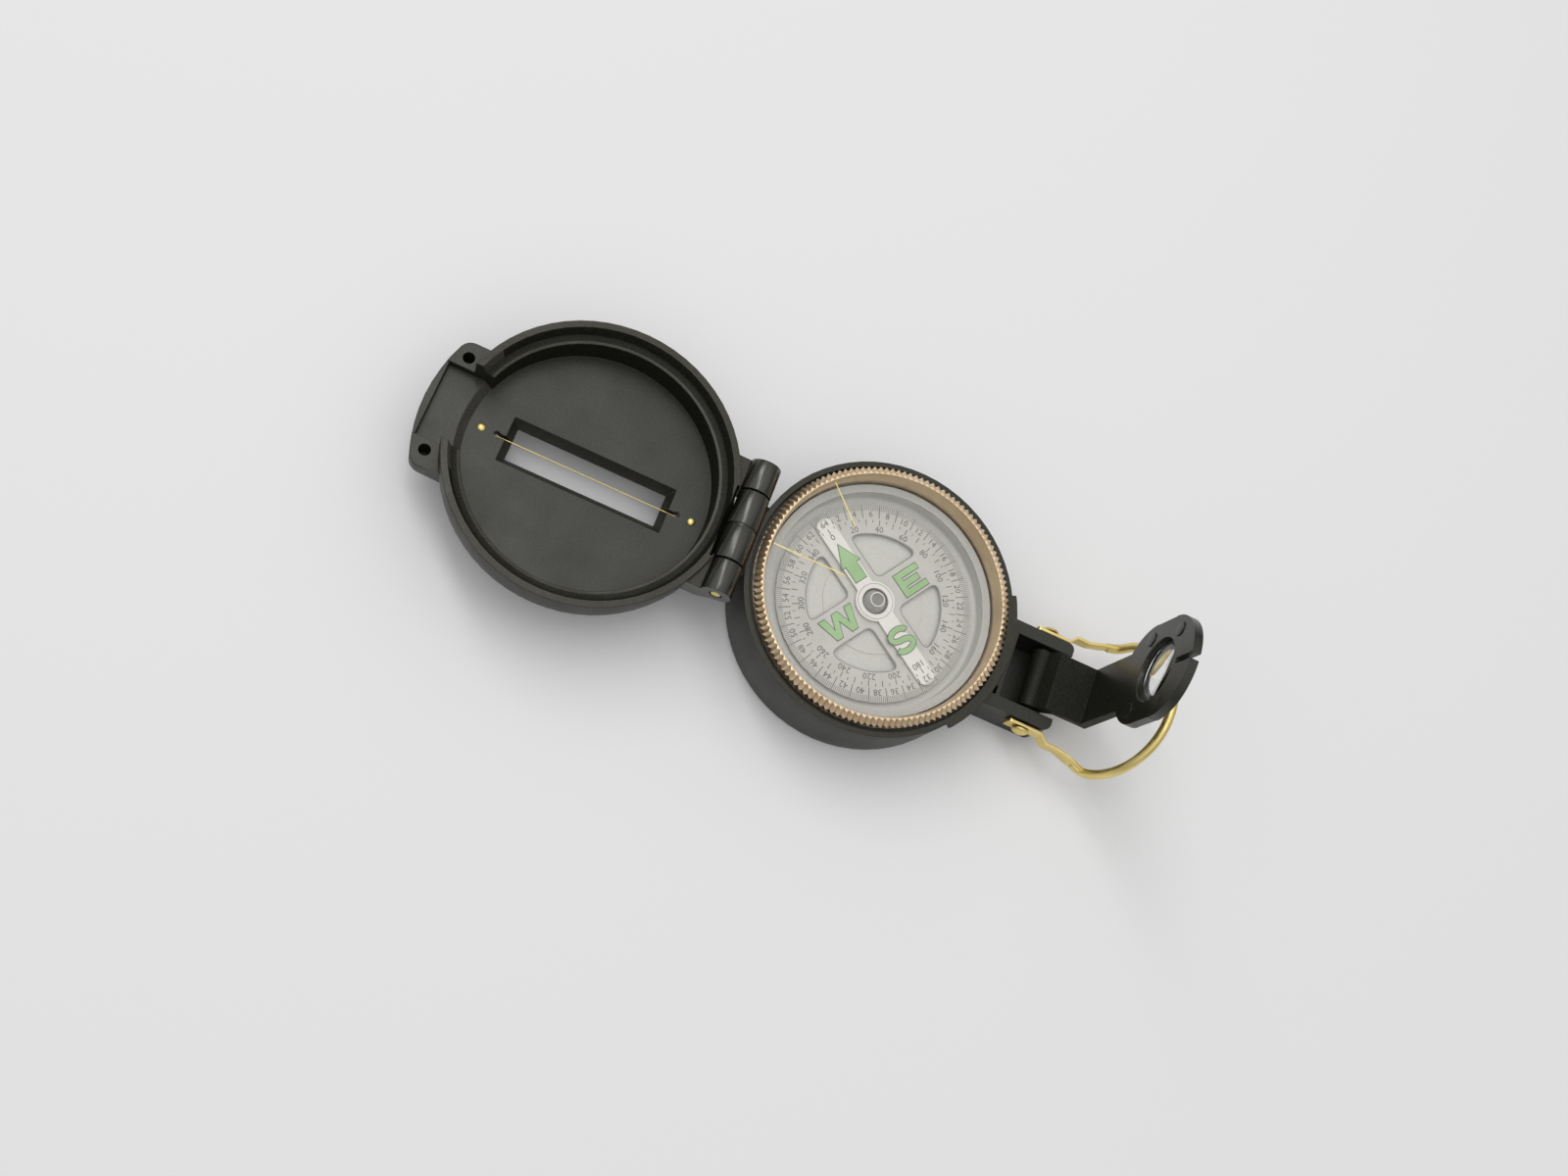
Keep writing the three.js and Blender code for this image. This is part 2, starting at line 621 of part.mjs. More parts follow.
function crystal() {
  const top = bezelTop - CRYSTAL_DROP;
  const radius = bezelBore + CRYSTAL_LEDGE - FIT_GAP;
  return disc(radius, top - CRYSTAL_THICKNESS, top, ROUND_LARGE);
}

// A split ring: a gap is cut out of a full one.
function bezelSnapRing() {
  const low = snapZ - SNAP_HEIGHT / 2;
  const high = snapZ + SNAP_HEIGHT / 2;
  const full = ring(snapInner, snapOuter, low, high, ROUND_LARGE);
  const split = THREE.MathUtils.degToRad(SNAP_SPLIT_DEG);
  const half = snapOuter * Math.sin(split / 2);
  return cut(full, block(0, snapOuter + CUT_MARGIN, -half, half, low - CUT_MARGIN, high + CUT_MARGIN));
}

// The cover is drawn closed, from its own middle, with heights measured up from its rim.
// Its hinge axis lies at hingeX there, a little above the rim.
const hingeUp = hingeZ - closedRim;

// Radii inside the cover, from the rim's inner edge to the edge of the floor.
const wallRadius = coverRadius - COVER_RIM;
const footRadius = wallRadius - COVER_LEAN;
const slopeRadius = footRadius - LEDGE_SLOPE;
const ledgeRadius = slopeRadius - COVER_LEDGE;
const floorRadius = ledgeRadius - COVER_DRAFT;

function coverHollow() {
  return turned([
    [0, -CUT_MARGIN],
    [wallRadius, -CUT_MARGIN],
    [wallRadius, 0],
    [footRadius, ledgeDepth - LEDGE_FALL],
    [slopeRadius, ledgeDepth],
    [ledgeRadius, ledgeDepth],
    [floorRadius, floorDepth],
    [0, floorDepth],
  ], ROUND_LARGE);
}

function coverOutside() {
  return turned([
    [0, 0],
    [coverRadius, 0],
    ...arc(coverRadius - COVER_ROUND, coverDepth - COVER_ROUND, COVER_ROUND, 0, 90, FILLET_STEPS + 2),
    [0, coverDepth],
  ], ROUND_LARGE);
}

// The tab's plan: two straight sides, an arc about the cover's axis and rounded corners.
function tabBody() {
  const half = TAB_WIDTH / 2;
  const reach = coverRadius + TAB_REACH;
  const corner = Math.sqrt((reach - TAB_CORNER) ** 2 - (half - TAB_CORNER) ** 2);
  const turn = THREE.MathUtils.radToDeg(Math.atan2(half - TAB_CORNER, corner));
  const outline = [
    [0, -half],
    ...arc(corner, TAB_CORNER - half, TAB_CORNER, -90, -turn, FILLET_STEPS),
    ...arc(0, 0, reach, -turn, turn, 2 * FILLET_STEPS).slice(1, -1),
    ...arc(corner, half - TAB_CORNER, TAB_CORNER, turn, 90, FILLET_STEPS),
    [0, half],
  ];
  const shape = new THREE.Shape(points(outline));
  const top = coverDepth - TAB_INSET;
  const settings = {
    depth: top - LUG_DROP,
    bevelThickness: TAB_ROUND,
    bevelSize: TAB_ROUND,
    bevelOffset: -TAB_ROUND,
    bevelSegments: FILLET_STEPS - 1,
  };
  const rounded = solid(new THREE.ExtrudeGeometry(shape, settings).translate(0, 0, LUG_DROP - TAB_ROUND));
  const side = half + CUT_MARGIN;
  const below = block(-CUT_MARGIN, reach + CUT_MARGIN, -side, side, -coverDepth, LUG_DROP);
  return cut(rounded, below);
}

// The way through the wall and the tab for the folded eyepiece: a low wall is left at its end, and a ramp
// leads down to the cover's floor.
function tabChannel() {
  const wallInside = coverRadius + TAB_REACH - TAB_WALL;
  const far = coverRadius + TAB_REACH + CUT_MARGIN;
  const half = channelHalf;
  const deepFloor = foldedBack + CHANNEL_HEADROOM;
  const deep = block(0, wallInside, -half, half, -CUT_MARGIN, deepFloor);
  const cone = turned([
    [0, deepFloor],
    [floorRadius + CHANNEL_RAMP, deepFloor],
    [floorRadius, floorDepth],
    [0, floorDepth],
  ], ROUND_LARGE);
  const ramp = cone.intersect(block(0, wallInside, -half, half, 0, coverDepth));
  const shallow = block(0, far, -half, half, -CUT_MARGIN, foldedBack + TAB_WALL_HEADROOM);
  return joined(deep, ramp, shallow);
}

function hingeWeb(low, high) {
  return across([
    [hingeX, WEB_DROP],
    [0, WEB_DROP],
    [0, WEB_DEPTH],
    [hingeX + HINGE_RADIUS, WEB_DEPTH],
    [hingeX - HINGE_RADIUS / 2, hingeUp + HINGE_RADIUS / 2],
  ], low, high);
}

// The sighting slot narrows towards the outer face; four sloping sides make a frustum.
function slotCutter() {
  const wide = SLOT_WIDTH / 2;
  const slope = SLOT_TAPER / COVER_FLOOR;
  const rise = COVER_FLOOR + 2 * CUT_MARGIN;
  const grow = slope * CUT_MARGIN;
  const shrink = slope * (COVER_FLOOR + CUT_MARGIN);
  const corners = [[-1, -1], [1, -1], [1, 1], [-1, 1]];
  const level = (by, z) => corners.map(([i, j]) => [i * (slotHalf + by), j * (wide + by), z]);
  const lowZ = floorDepth - CUT_MARGIN;
  const vertices = [...level(grow, lowZ), ...level(-shrink, lowZ + rise)];
  const sides = corners.flatMap((_, i) => {
    const next = (i + 1) % 4;
    return [i, next, next + 4, i, next + 4, i + 4];
  });
  const geometry = new THREE.BufferGeometry();
  geometry.setAttribute('position', new THREE.Float32BufferAttribute(vertices.flat(), 3));
  geometry.setIndex([0, 2, 1, 0, 3, 2, ...sides, 4, 5, 6, 4, 6, 7]);
  return solid(geometry);
}

const anchorX = slotHalf + ANCHOR_OUT;
const wirePinX = slotHalf + WIRE_PIN_OUT;
const wireZ = floorDepth + COVER_FLOOR / 2;

function coverShell() {
  const middle = HINGE_MIDDLE / 2 + KNUCKLE_GAP;
  const lugHoleX = coverRadius + LUG_HOLE_OUT;
  const lugHoleY = channelHalf + LUG_HOLE_SIDE;
  const lugHoleEnd = coverDepth - LUG_HOLE_FLOOR;
  const top = coverDepth + CUT_MARGIN;
  const groove = WIRE_GROOVE / 2;
  const body = joined(
    coverOutside(),
    tabBody(),
    hingeWeb(middle, hingeHalf),
    hingeWeb(-hingeHalf, -middle),
  );
  const opened = cut(
    body,
    coverHollow(),
    tabChannel(),
    rodAcross(HINGE_RADIUS + NOTCH_GAP, hingeX, hingeUp, -middle, middle, ROUND_MIDDLE),
    slotCutter(),
    block(-anchorX, anchorX, -groove, groove, floorDepth - CUT_MARGIN, wireZ + groove),
    rodUp(ANCHOR_RADIUS, anchorX, 0, floorDepth - CUT_MARGIN, top, ROUND_SMALL),
    rodUp(ANCHOR_RADIUS, -anchorX, 0, floorDepth - CUT_MARGIN, top, ROUND_SMALL),
    wirePinHole(wirePinX),
    wirePinHole(-wirePinX),
    rodUp(LUG_HOLE_RADIUS, lugHoleX, lugHoleY, 0, lugHoleEnd, ROUND_SMALL),
    rodUp(LUG_HOLE_RADIUS, lugHoleX, -lugHoleY, 0, lugHoleEnd, ROUND_SMALL),
  );
  const knuckles = joined(
    opened,
    rodAcross(HINGE_RADIUS, hingeX, hingeUp, middle, hingeHalf, ROUND_MIDDLE),
    rodAcross(HINGE_RADIUS, hingeX, hingeUp, -hingeHalf, -middle, ROUND_MIDDLE),
  );
  const reach = hingeHalf + CUT_MARGIN;
  return cut(knuckles, rodAcross(HINGE_PIN_RADIUS + FIT_GAP, hingeX, hingeUp, -reach, reach, ROUND_SMALL));
}

function wirePinHole(x) {
  const depth = WIRE_PIN_DEPTH + FIT_GAP;
  return rodUp(WIRE_PIN_RADIUS + FIT_GAP, x, 0, floorDepth - CUT_MARGIN, floorDepth + depth, ROUND_SMALL);
}

function wirePin(x) {
  return rodUp(WIRE_PIN_RADIUS, x, 0, floorDepth - WIRE_PIN_RISE, floorDepth + WIRE_PIN_DEPTH, ROUND_SMALL);
}

function sightingWire() {
  return rodAlong(WIRE_RADIUS, 0, wireZ, -anchorX, anchorX, ROUND_SMALL / 2);
}

// The eyepiece's plate seen from the front: a neck, an oblong head, the lens bore and the sighting notch.
function plateOutline() {
  const upperZ = lowerRoundZ + PLATE_STRAIGHT;
  const topZ = upperZ + PLATE_RADIUS;
  const slotZ = topZ - NOTCH_DEPTH;
  const half = NOTCH_WIDTH / 2;
  const neckTurn = Math.acos(eyeHalf / PLATE_RADIUS);
  const notchTurn = Math.asin(half / PLATE_RADIUS);
  const shape = new THREE.Shape();
  shape.moveTo(-eyeHalf, armTop - ARM_THICKNESS);
  shape.lineTo(eyeHalf, armTop - ARM_THICKNESS);
  shape.absarc(0, lowerRoundZ, PLATE_RADIUS, -neckTurn, 0);
  shape.absarc(0, upperZ, PLATE_RADIUS, 0, Math.PI / 2 - notchTurn);
  shape.lineTo(half, slotZ);
  shape.lineTo(-half, slotZ);
  shape.absarc(0, upperZ, PLATE_RADIUS, Math.PI / 2 + notchTurn, Math.PI);
  shape.absarc(0, lowerRoundZ, PLATE_RADIUS, Math.PI, Math.PI + neckTurn);
  shape.closePath();
  return shape;
}

function eyepieceBracket() {
  const back = plateFront + PLATE_THICKNESS;
  const armStart = pinX + ARM_SETBACK;
  const armLow = armTop - ARM_THICKNESS;
  const barrel = rodAcross(EYE_BARREL_RADIUS, pinX, pinZ, -eyeHalf, eyeHalf, ROUND_MIDDLE);
  const web = across([
    [pinX, pinZ - EYE_BARREL_RADIUS / 2],
    [pinX + EYE_BARREL_RADIUS, pinZ],
    [armStart + ARM_SETBACK, armLow],
    [armStart + ARM_SETBACK, armTop],
    [armStart, armTop],
    [pinX, pinZ + EYE_BARREL_RADIUS / 2],
  ], -eyeHalf, eyeHalf);
  const arm = block(armStart, back, -eyeHalf, eyeHalf, armLow, armTop);
  const bossRadius = lensBore + LENS_BOSS_WALL;
  const boss = rodAlong(bossRadius, 0, lensZ, plateFront + FIT_GAP, back + LENS_BOSS_HEIGHT, ROUND_MIDDLE);
  const reach = eyeHalf + CUT_MARGIN;
  const recess = plateFront + LENS_RECESS;
  const far = back + LENS_BOSS_HEIGHT + CUT_MARGIN;
  return cut(
    joined(barrel, web, arm, along(plateOutline(), plateFront, back), boss),
    rodAcross(PIN_RADIUS + RUN_GAP, pinX, pinZ, -reach, reach, ROUND_SMALL),
    rodAlong(lensBore, 0, lensZ, plateFront - CUT_MARGIN, far, ROUND_MIDDLE),
    rodAlong(lensBore + LENS_STEP, 0, lensZ, plateFront - CUT_MARGIN, recess, ROUND_MIDDLE),
  );
}

// A lens with both faces bulging, lying behind the counterbore.
const lensFront = plateFront + LENS_RECESS;

function magnifierLens() {
  const steps = 4;
  const bulge = (share) => LENS_BULGE * (1 - share ** 2);
  const front = Array.from({ length: steps + 1 }, (_, i) => [(LENS_RADIUS * i) / steps, -bulge(i / steps)]);
  const back = front.map(([radius, height]) => [radius, LENS_EDGE - height]).reverse();
  const geometry = new THREE.LatheGeometry(points([...front, ...back]), ROUND_MIDDLE);
  return solid(geometry.rotateZ(-Math.PI / 2).translate(lensFront, 0, lensZ));
}

function lensRing() {
  const low = lensFront + LENS_EDGE + FIT_GAP;
  const section = ring(LENS_RADIUS - LENS_RING_WALL, LENS_RADIUS, 0, LENS_RING_HEIGHT, ROUND_MIDDLE);
  return section.rotate([0, 90, 0]).translate([low, 0, lensZ]);
}

// The thumb loop: two flat straps on the pin, and a round bow between them that is bent up at the corners.
const strapInner = earOuter + RUN_GAP;
const cornerY = Math.sqrt(LOOP_BOW_RADIUS ** 2 - LOOP_BOW_RISE ** 2);

// Distance of a strap's inner face from the middle, at a distance along from the pin.
function strapSide(x) {
  const jogged = strapInner + LOOP_JOG_OUT;
  const corner = cornerY - LOOP_STRAP_THICKNESS / 2;
  if (x > LOOP_NECK) return THREE.MathUtils.mapLinear(x, LOOP_NECK, LOOP_STRAP, jogged, corner);
  if (x > LOOP_JOG_END) return jogged;
  if (x < LOOP_JOG_START) return strapInner;
  return THREE.MathUtils.mapLinear(x, LOOP_JOG_START, LOOP_JOG_END, strapInner, jogged);
}

// One strap: its plan, with the jog that clears the ear, carried through its side outline.
function strap() {
  const bends = [-LOOP_EYE_BACK, LOOP_JOG_START, LOOP_JOG_END, LOOP_NECK, LOOP_STRAP];
  const inner = bends.map((x) => [x, strapSide(x)]);
  const outer = inner.map(([x, y]) => [x, y + LOOP_STRAP_THICKNESS]).reverse();
  const plan = new THREE.Shape(points([...inner, ...outer]));
  const back = LOOP_EYE_CORNER - LOOP_EYE_BACK;
  const cornerUp = LOOP_EYE_HALF - LOOP_EYE_CORNER;
  const upper = [
    [LOOP_STRAP, LOOP_WIRE_RADIUS],
    [LOOP_BAND, LOOP_BAND_HALF],
    [LOOP_NECK, LOOP_NECK_HALF],
    [LOOP_EYE_FRONT, LOOP_EYE_HALF],
    ...arc(back, cornerUp, LOOP_EYE_CORNER, 90, 180, FILLET_STEPS),
  ];
  const lower = upper.map(([x, z]) => [x, -z]).reverse();
  const far = cornerY + CUT_MARGIN;
  const hole = rodAcross(PIN_RADIUS + RUN_GAP, 0, 0, 0, far, ROUND_SMALL);
  const height = Math.max(LOOP_EYE_HALF, LOOP_NECK_HALF, LOOP_BAND_HALF);
  const band = raised(plan, -height, height);
  return cut(band.intersect(across([...upper, ...lower], 0, far)), hole);
}

function bowPath() {
  const tilt = THREE.MathUtils.degToRad(LOOP_BOW_DEG);
  const half = Math.acos(-LOOP_BOW_RISE / LOOP_BOW_RADIUS);
  const start = LOOP_STRAP - LOOP_LAP;
  const startY = strapSide(start) + LOOP_STRAP_THICKNESS / 2;
  const bowPoints = 13;
  const bow = Array.from({ length: bowPoints }, (_, i) => {
    const angle = half - (2 * half * i) / (bowPoints - 1);
    const up = LOOP_BOW_RISE + LOOP_BOW_RADIUS * Math.cos(angle);
    const y = LOOP_BOW_RADIUS * Math.sin(angle);
    return new THREE.Vector3(LOOP_STRAP + up * Math.cos(tilt), y, up * Math.sin(tilt));
  });
  const ends = [startY, -startY].map((y) => new THREE.Vector3(start, y, 0));
  return new THREE.CatmullRomCurve3([ends[0], ...bow, ends[1]], false, 'centripetal');
}

function thumbLoop() {
  const section = new THREE.Shape(points(arc(0, 0, LOOP_WIRE_RADIUS, 0, 360, LOOP_SIDES).slice(0, -1)));
  const settings = { extrudePath: bowPath(), steps: LOOP_STEPS, bevelEnabled: false };
  const wire = solid(new THREE.ExtrudeGeometry(section, settings));
  return joined(wire, strap(), strap().mirror([0, 1, 0])).translate([pinX, 0, pinZ]);
}

// Assembly
const compass = new THREE.Group();
compass.name = 'compass';

// The cover's own group stands on the closed base, so half a turn about the hinge lays it open.
const coverHinge = new THREE.Group();
coverHinge.position.set(hingeX, 0, hingeZ);
coverHinge.rotation.y = -Math.PI;
const cover = new THREE.Group();
cover.position.set(-hingeX, 0, -hingeUp);
coverHinge.add(cover);
compass.add(coverHinge);

function place(group, name, body, material) {
  const mesh = new THREE.Mesh(geometryOf(body), material);
  mesh.name = name;
  group.add(mesh);
}

place(compass, 'base_case', baseCase(), blackPlastic);
place(compass, 'hinge_pin', hingePin(), brass);
place(compass, 'eyepiece_pin', eyepiecePin(), brass);
place(compass, 'capsule_cup', capsuleCup(), clearPlastic);
place(compass, 'capsule_gasket', capsuleGasket(), rubber);
place(compass, 'capsule_lid', capsuleLid(), clearPlastic);
place(compass, 'pivot_needle', pivotNeedle(), steel);
place(compass, 'bezel_snap_ring', bezelSnapRing(), steel);
place(compass, 'card_disc', cardDisc(), dialGrey);
place(compass, 'card_magnet', cardMagnet(), whitePaint);
place(compass, 'jewel_cup', jewelCup(), brass);
place(compass, 'bezel_ring', bezelRing(), bronze);
place(compass, 'crystal', crystal(), glass);
place(cover, 'cover_shell', coverShell(), blackPlastic);
place(cover, 'sighting_wire', sightingWire(), brass);
place(cover, 'wire_pin_outer', wirePin(wirePinX), brass);
place(cover, 'wire_pin_inner', wirePin(-wirePinX), brass);
place(compass, 'eyepiece_bracket', eyepieceBracket(), blackPlastic);
place(compass, 'magnifier_lens', magnifierLens(), glass);
place(compass, 'lens_ring', lensRing(), blackPlastic);
place(compass, 'thumb_loop', thumbLoop(), brass);

export default compass;
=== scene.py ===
# %% [markdown]
# # A pocket sighting compass, dressed in Blender
# The compass lies open: a round black base under a knurled gold bezel, a cover turned right over on
# its hinge, an eyepiece standing up at the other end and a brass thumb loop round it. Its solids
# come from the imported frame, and this script gives every one of them its surface. All sizes below
# are in millimetres and go into Blender as metres.

# %% Load the frame
import math

import bmesh
import bpy
import numpy as np
from mathutils import Matrix, Vector


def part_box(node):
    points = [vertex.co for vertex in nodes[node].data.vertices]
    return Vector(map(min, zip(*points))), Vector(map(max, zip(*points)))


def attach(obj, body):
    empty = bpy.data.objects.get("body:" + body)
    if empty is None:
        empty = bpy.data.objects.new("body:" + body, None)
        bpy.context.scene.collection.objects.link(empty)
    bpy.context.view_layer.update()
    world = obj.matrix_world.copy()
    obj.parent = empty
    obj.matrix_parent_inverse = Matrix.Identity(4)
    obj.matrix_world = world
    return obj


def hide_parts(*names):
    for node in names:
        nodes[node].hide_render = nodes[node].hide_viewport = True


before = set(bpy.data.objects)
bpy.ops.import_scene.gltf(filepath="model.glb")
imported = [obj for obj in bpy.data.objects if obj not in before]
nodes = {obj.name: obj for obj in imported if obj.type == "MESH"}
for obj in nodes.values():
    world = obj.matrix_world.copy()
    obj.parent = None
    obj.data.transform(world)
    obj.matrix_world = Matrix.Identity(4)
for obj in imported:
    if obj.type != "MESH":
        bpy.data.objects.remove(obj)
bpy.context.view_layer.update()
MM = 0.001


def box_mm(node):
    """The lowest and the highest corner of a node at rest, in millimetres."""
    low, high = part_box(node)
    return np.array(low) / MM, np.array(high) / MM


print("nodes in the frame:", len(nodes))

# %% [markdown]
# ## Surfaces as grids
# A turned or drawn part is a grid of points: one direction runs along its profile, the other round
# its axis. It could be spun by hand in the viewport. Working out the whole grid at once with numpy
# keeps every size a named value, and the same few helpers then serve every new piece.

# %% Grids and pieces
MERGE = 2e-7
SMOOTH_DEG = 32


def grid_quads(rows, columns, rows_closed=False):
    """Faces of a grid whose columns close on themselves: each point joins its neighbours in the next
    row and column. With rows_closed the last row meets the first one too."""
    i, j = np.meshgrid(np.arange(rows - (not rows_closed)), np.arange(columns), indexing="ij")
    down, right = (i + 1) % rows, (j + 1) % columns
    corners = [i * columns + j, i * columns + right, down * columns + right, down * columns + j]
    return np.stack(corners, axis=-1).reshape(-1, 4)


def gathered(parts):
    """Several sets of points and faces as one: each set's faces count on from the points before."""
    starts = np.cumsum([0] + [len(points) for points, _ in parts])
    faces = [
        list(np.asarray(face) + start) for (_, some), start in zip(parts, starts) for face in some
    ]
    return np.concatenate([points for points, _ in parts]), faces


def linked(name, data):
    """A new object with this data, linked to the scene."""
    thing = bpy.data.objects.new(name, data)
    bpy.context.scene.collection.objects.link(thing)
    return thing


def new_piece(name, points, faces, smooth_deg=SMOOTH_DEG):
    """A mesh object at the origin from points in millimetres, its doubles merged and its faces
    turned outwards."""
    mesh = bpy.data.meshes.new(name)
    rows = [[int(i) for i in face] for face in faces]
    mesh.from_pydata((np.asarray(points) * MM).tolist(), [], rows)
    work = bmesh.new()
    work.from_mesh(mesh)
    bmesh.ops.remove_doubles(work, verts=work.verts, dist=MERGE)
    bmesh.ops.recalc_face_normals(work, faces=work.faces)
    work.to_mesh(mesh)
    work.free()
    mesh.polygons.foreach_set("use_smooth", np.ones(len(mesh.polygons), dtype=bool))
    mesh.set_sharp_from_angle(angle=math.radians(smooth_deg))
    return linked(name, mesh)


def dress(piece, body, slot, material, *stands_for):
    """Gives a piece its material and its body and hides the nodes that it stands for; the slot is not
    used.
    """
    piece.data.materials.clear()
    piece.data.materials.append(material)
    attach(piece, body)
    if stands_for:
        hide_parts(*stands_for)
    print(f"{piece.name}: {len(piece.data.polygons)} faces on {body}")
    return piece


# %% [markdown]
# A pin, a disc or a ring is known by its profile. Real corners are never quite sharp, and a Bevel
# could ease them later, but a profile is so short that its corners can be rounded before it is
# turned: each one becomes a small parabola. Pins are drawn upright and then laid along their axis.

# %% Profiles
MOST_OF_AN_EDGE = 0.45


def bent(a, c, b, t):
    """The parabola from a to b that leans towards c: (1-t)(1-t) a + 2t(1-t) c + t t b."""
    return (1 - t) ** 2 * np.asarray(a) + 2 * t * (1 - t) * np.asarray(c) + t**2 * np.asarray(b)


def softened(corners, radius, steps=4):
    """A closed outline with round corners: a parabola starts the radius before each corner and ends
    the radius after it, or at most a share of the shorter edge away."""
    c = np.asarray(corners, dtype=float)
    back, on = np.roll(c, 1, axis=0) - c, np.roll(c, -1, axis=0) - c
    back_length, on_length = np.linalg.norm(back, axis=1), np.linalg.norm(on, axis=1)
    cut = np.minimum(radius, MOST_OF_AN_EDGE * np.minimum(back_length, on_length))
    a = c + back * (cut / back_length)[:, None]
    b = c + on * (cut / on_length)[:, None]
    t = np.linspace(0, 1, steps + 1)[None, :, None]
    return bent(a[:, None], c[:, None], b[:, None], t).reshape(-1, 2)


def turned(profile, columns=192, ring=False):
    """A profile of radius and height carried round Z: x = r cos a, y = r sin a, z = h. A ring's
    profile closes on itself."""
    radius, height = np.asarray(profile, dtype=float).T
    angle = np.linspace(0, 2 * np.pi, columns, endpoint=False)
    x = radius[:, None] * np.cos(angle)
    y = radius[:, None] * np.sin(angle)
    z = np.broadcast_to(height[:, None], x.shape)
    points = np.stack([x, y, z], axis=-1).reshape(-1, 3)
    return points, grid_quads(len(radius), columns, rows_closed=ring)


def turned_from(rows, columns=192):
    """A turned surface from rows of radius, height and the rounding of that corner."""
    table = np.array(rows, dtype=float)
    return turned(softened(table[:, :2], table[:, 2]), columns)


def rod_profile(radius, low, high, easing):
    """The profile of a plain rod or disc between two heights, its two outer corners eased."""
    corners = [(0, low), (radius, low), (radius, high), (0, high)]
    return softened(corners, np.array([0, easing, easing, 0]))


def lying(points, axis, place):
    """Turns points drawn about Z so that Z runs along the part's X or Y axis, or leaves them
    upright, then moves them to their place."""
    x, y, z = np.asarray(points).T
    laid = {"X": (z, x, y), "Y": (y, z, x), "Z": (x, y, z)}[axis]
    return np.stack(laid, axis=-1) + place


# %% [markdown]
# ## Finishes
# Each finish is a Principled shader with noise behind its colour, its roughness and its bump. The
# noise could come from picture textures. Here it is worked out from Object coordinates, so the
# grain stays on the piece when a joint moves it and needs no file. A noise of scale 1000 has grains
# of about a millimetre, because the coordinates are metres.

# %% Finish helpers
def finish(name, **settings):
    """A material whose Principled shader has the given sockets set, with its node tree and shader."""
    material = bpy.data.materials.new(name)
    material.use_nodes = True
    shader = material.node_tree.nodes["Principled BSDF"]
    for socket, value in settings.items():
        shader.inputs[socket.replace("_", " ")].default_value = value
    return material, material.node_tree, shader


def grain(tree, scale, detail=3.0, stretch=(1, 1, 1)):
    """Noise on Object coordinates, stretched along the axes by a Mapping node; returns its factor."""
    coordinates = tree.nodes.new("ShaderNodeTexCoord")
    mapping = tree.nodes.new("ShaderNodeMapping")
    noise = tree.nodes.new("ShaderNodeTexNoise")
    mapping.inputs["Scale"].default_value = stretch
    noise.inputs["Scale"].default_value = scale
    noise.inputs["Detail"].default_value = detail
    tree.links.new(coordinates.outputs["Object"], mapping.inputs["Vector"])
    tree.links.new(mapping.outputs["Vector"], noise.inputs["Vector"])
    return noise.outputs["Fac"]


def spread(tree, factor, socket, low, high, start=0.3, end=0.7):
    """Drives a socket between two values as a factor goes from start to end."""
    remap = tree.nodes.new("ShaderNodeMapRange")
    limits = {"From Min": start, "From Max": end, "To Min": low, "To Max": high}
    for name, value in limits.items():
        remap.inputs[name].default_value = value
    tree.links.new(factor, remap.inputs["Value"])
    tree.links.new(remap.outputs["Result"], socket)


def blotched(tree, factor, socket, first, second, start=0.35, end=0.65):
    """Drives a colour socket from one colour to another as a factor goes from start to end."""
    ramp = tree.nodes.new("ShaderNodeValToRGB")
    ramp.color_ramp.elements[0].position = start
    ramp.color_ramp.elements[1].position = end
    ramp.color_ramp.elements[0].color = (*first, 1)
    ramp.color_ramp.elements[1].color = (*second, 1)
    tree.links.new(factor, ramp.inputs["Fac"])
    tree.links.new(ramp.outputs["Color"], socket)


def bumped(tree, shader, factor, strength, distance):
    """Raises the surface by a factor, with the distance in millimetres."""
    bump = tree.nodes.new("ShaderNodeBump")
    bump.inputs["Strength"].default_value = strength
    bump.inputs["Distance"].default_value = distance * MM
    tree.links.new(factor, bump.inputs["Height"])
    tree.links.new(bump.outputs["Normal"], shader.inputs["Normal"])


# %% [markdown]
# The mouldings are black plastic with a fine spark-eroded grain. The level faces of the rims, which
# hands and the table rub, are a little brown and smooth, and lighter too: rub wear and painted
# highlight together. The hinge's knuckles are polished by turning, with streaks along them. Faces in
# shade get a copy with less sheen, as painted shade, and the ramp in the cover's end is painted a
# lighter grey, as painted light. One function makes all of them.

# %% Plastics
FINE_GRAIN = 2400
SLOW_BLOTCHES = 110
GRAIN_DEPTH = 0.05
WARM_SHEEN = (1.0, 0.99, 0.93, 1)


def grained_plastic(name, colours, rough, bump_strength, sheen=0.5, streak=(1, 1, 1)):
    """Moulded plastic: one fine grain between two colours and in the bump, slow blotches in the
    roughness, and a level of sheen."""
    material, tree, shader = finish(name, Specular_IOR_Level=sheen, Specular_Tint=WARM_SHEEN)
    fine = grain(tree, FINE_GRAIN, detail=2.0, stretch=streak)
    blotched(tree, fine, shader.inputs["Base Color"], *colours)
    spread(tree, grain(tree, SLOW_BLOTCHES), shader.inputs["Roughness"], *rough)
    bumped(tree, shader, fine, bump_strength, GRAIN_DEPTH)
    return material


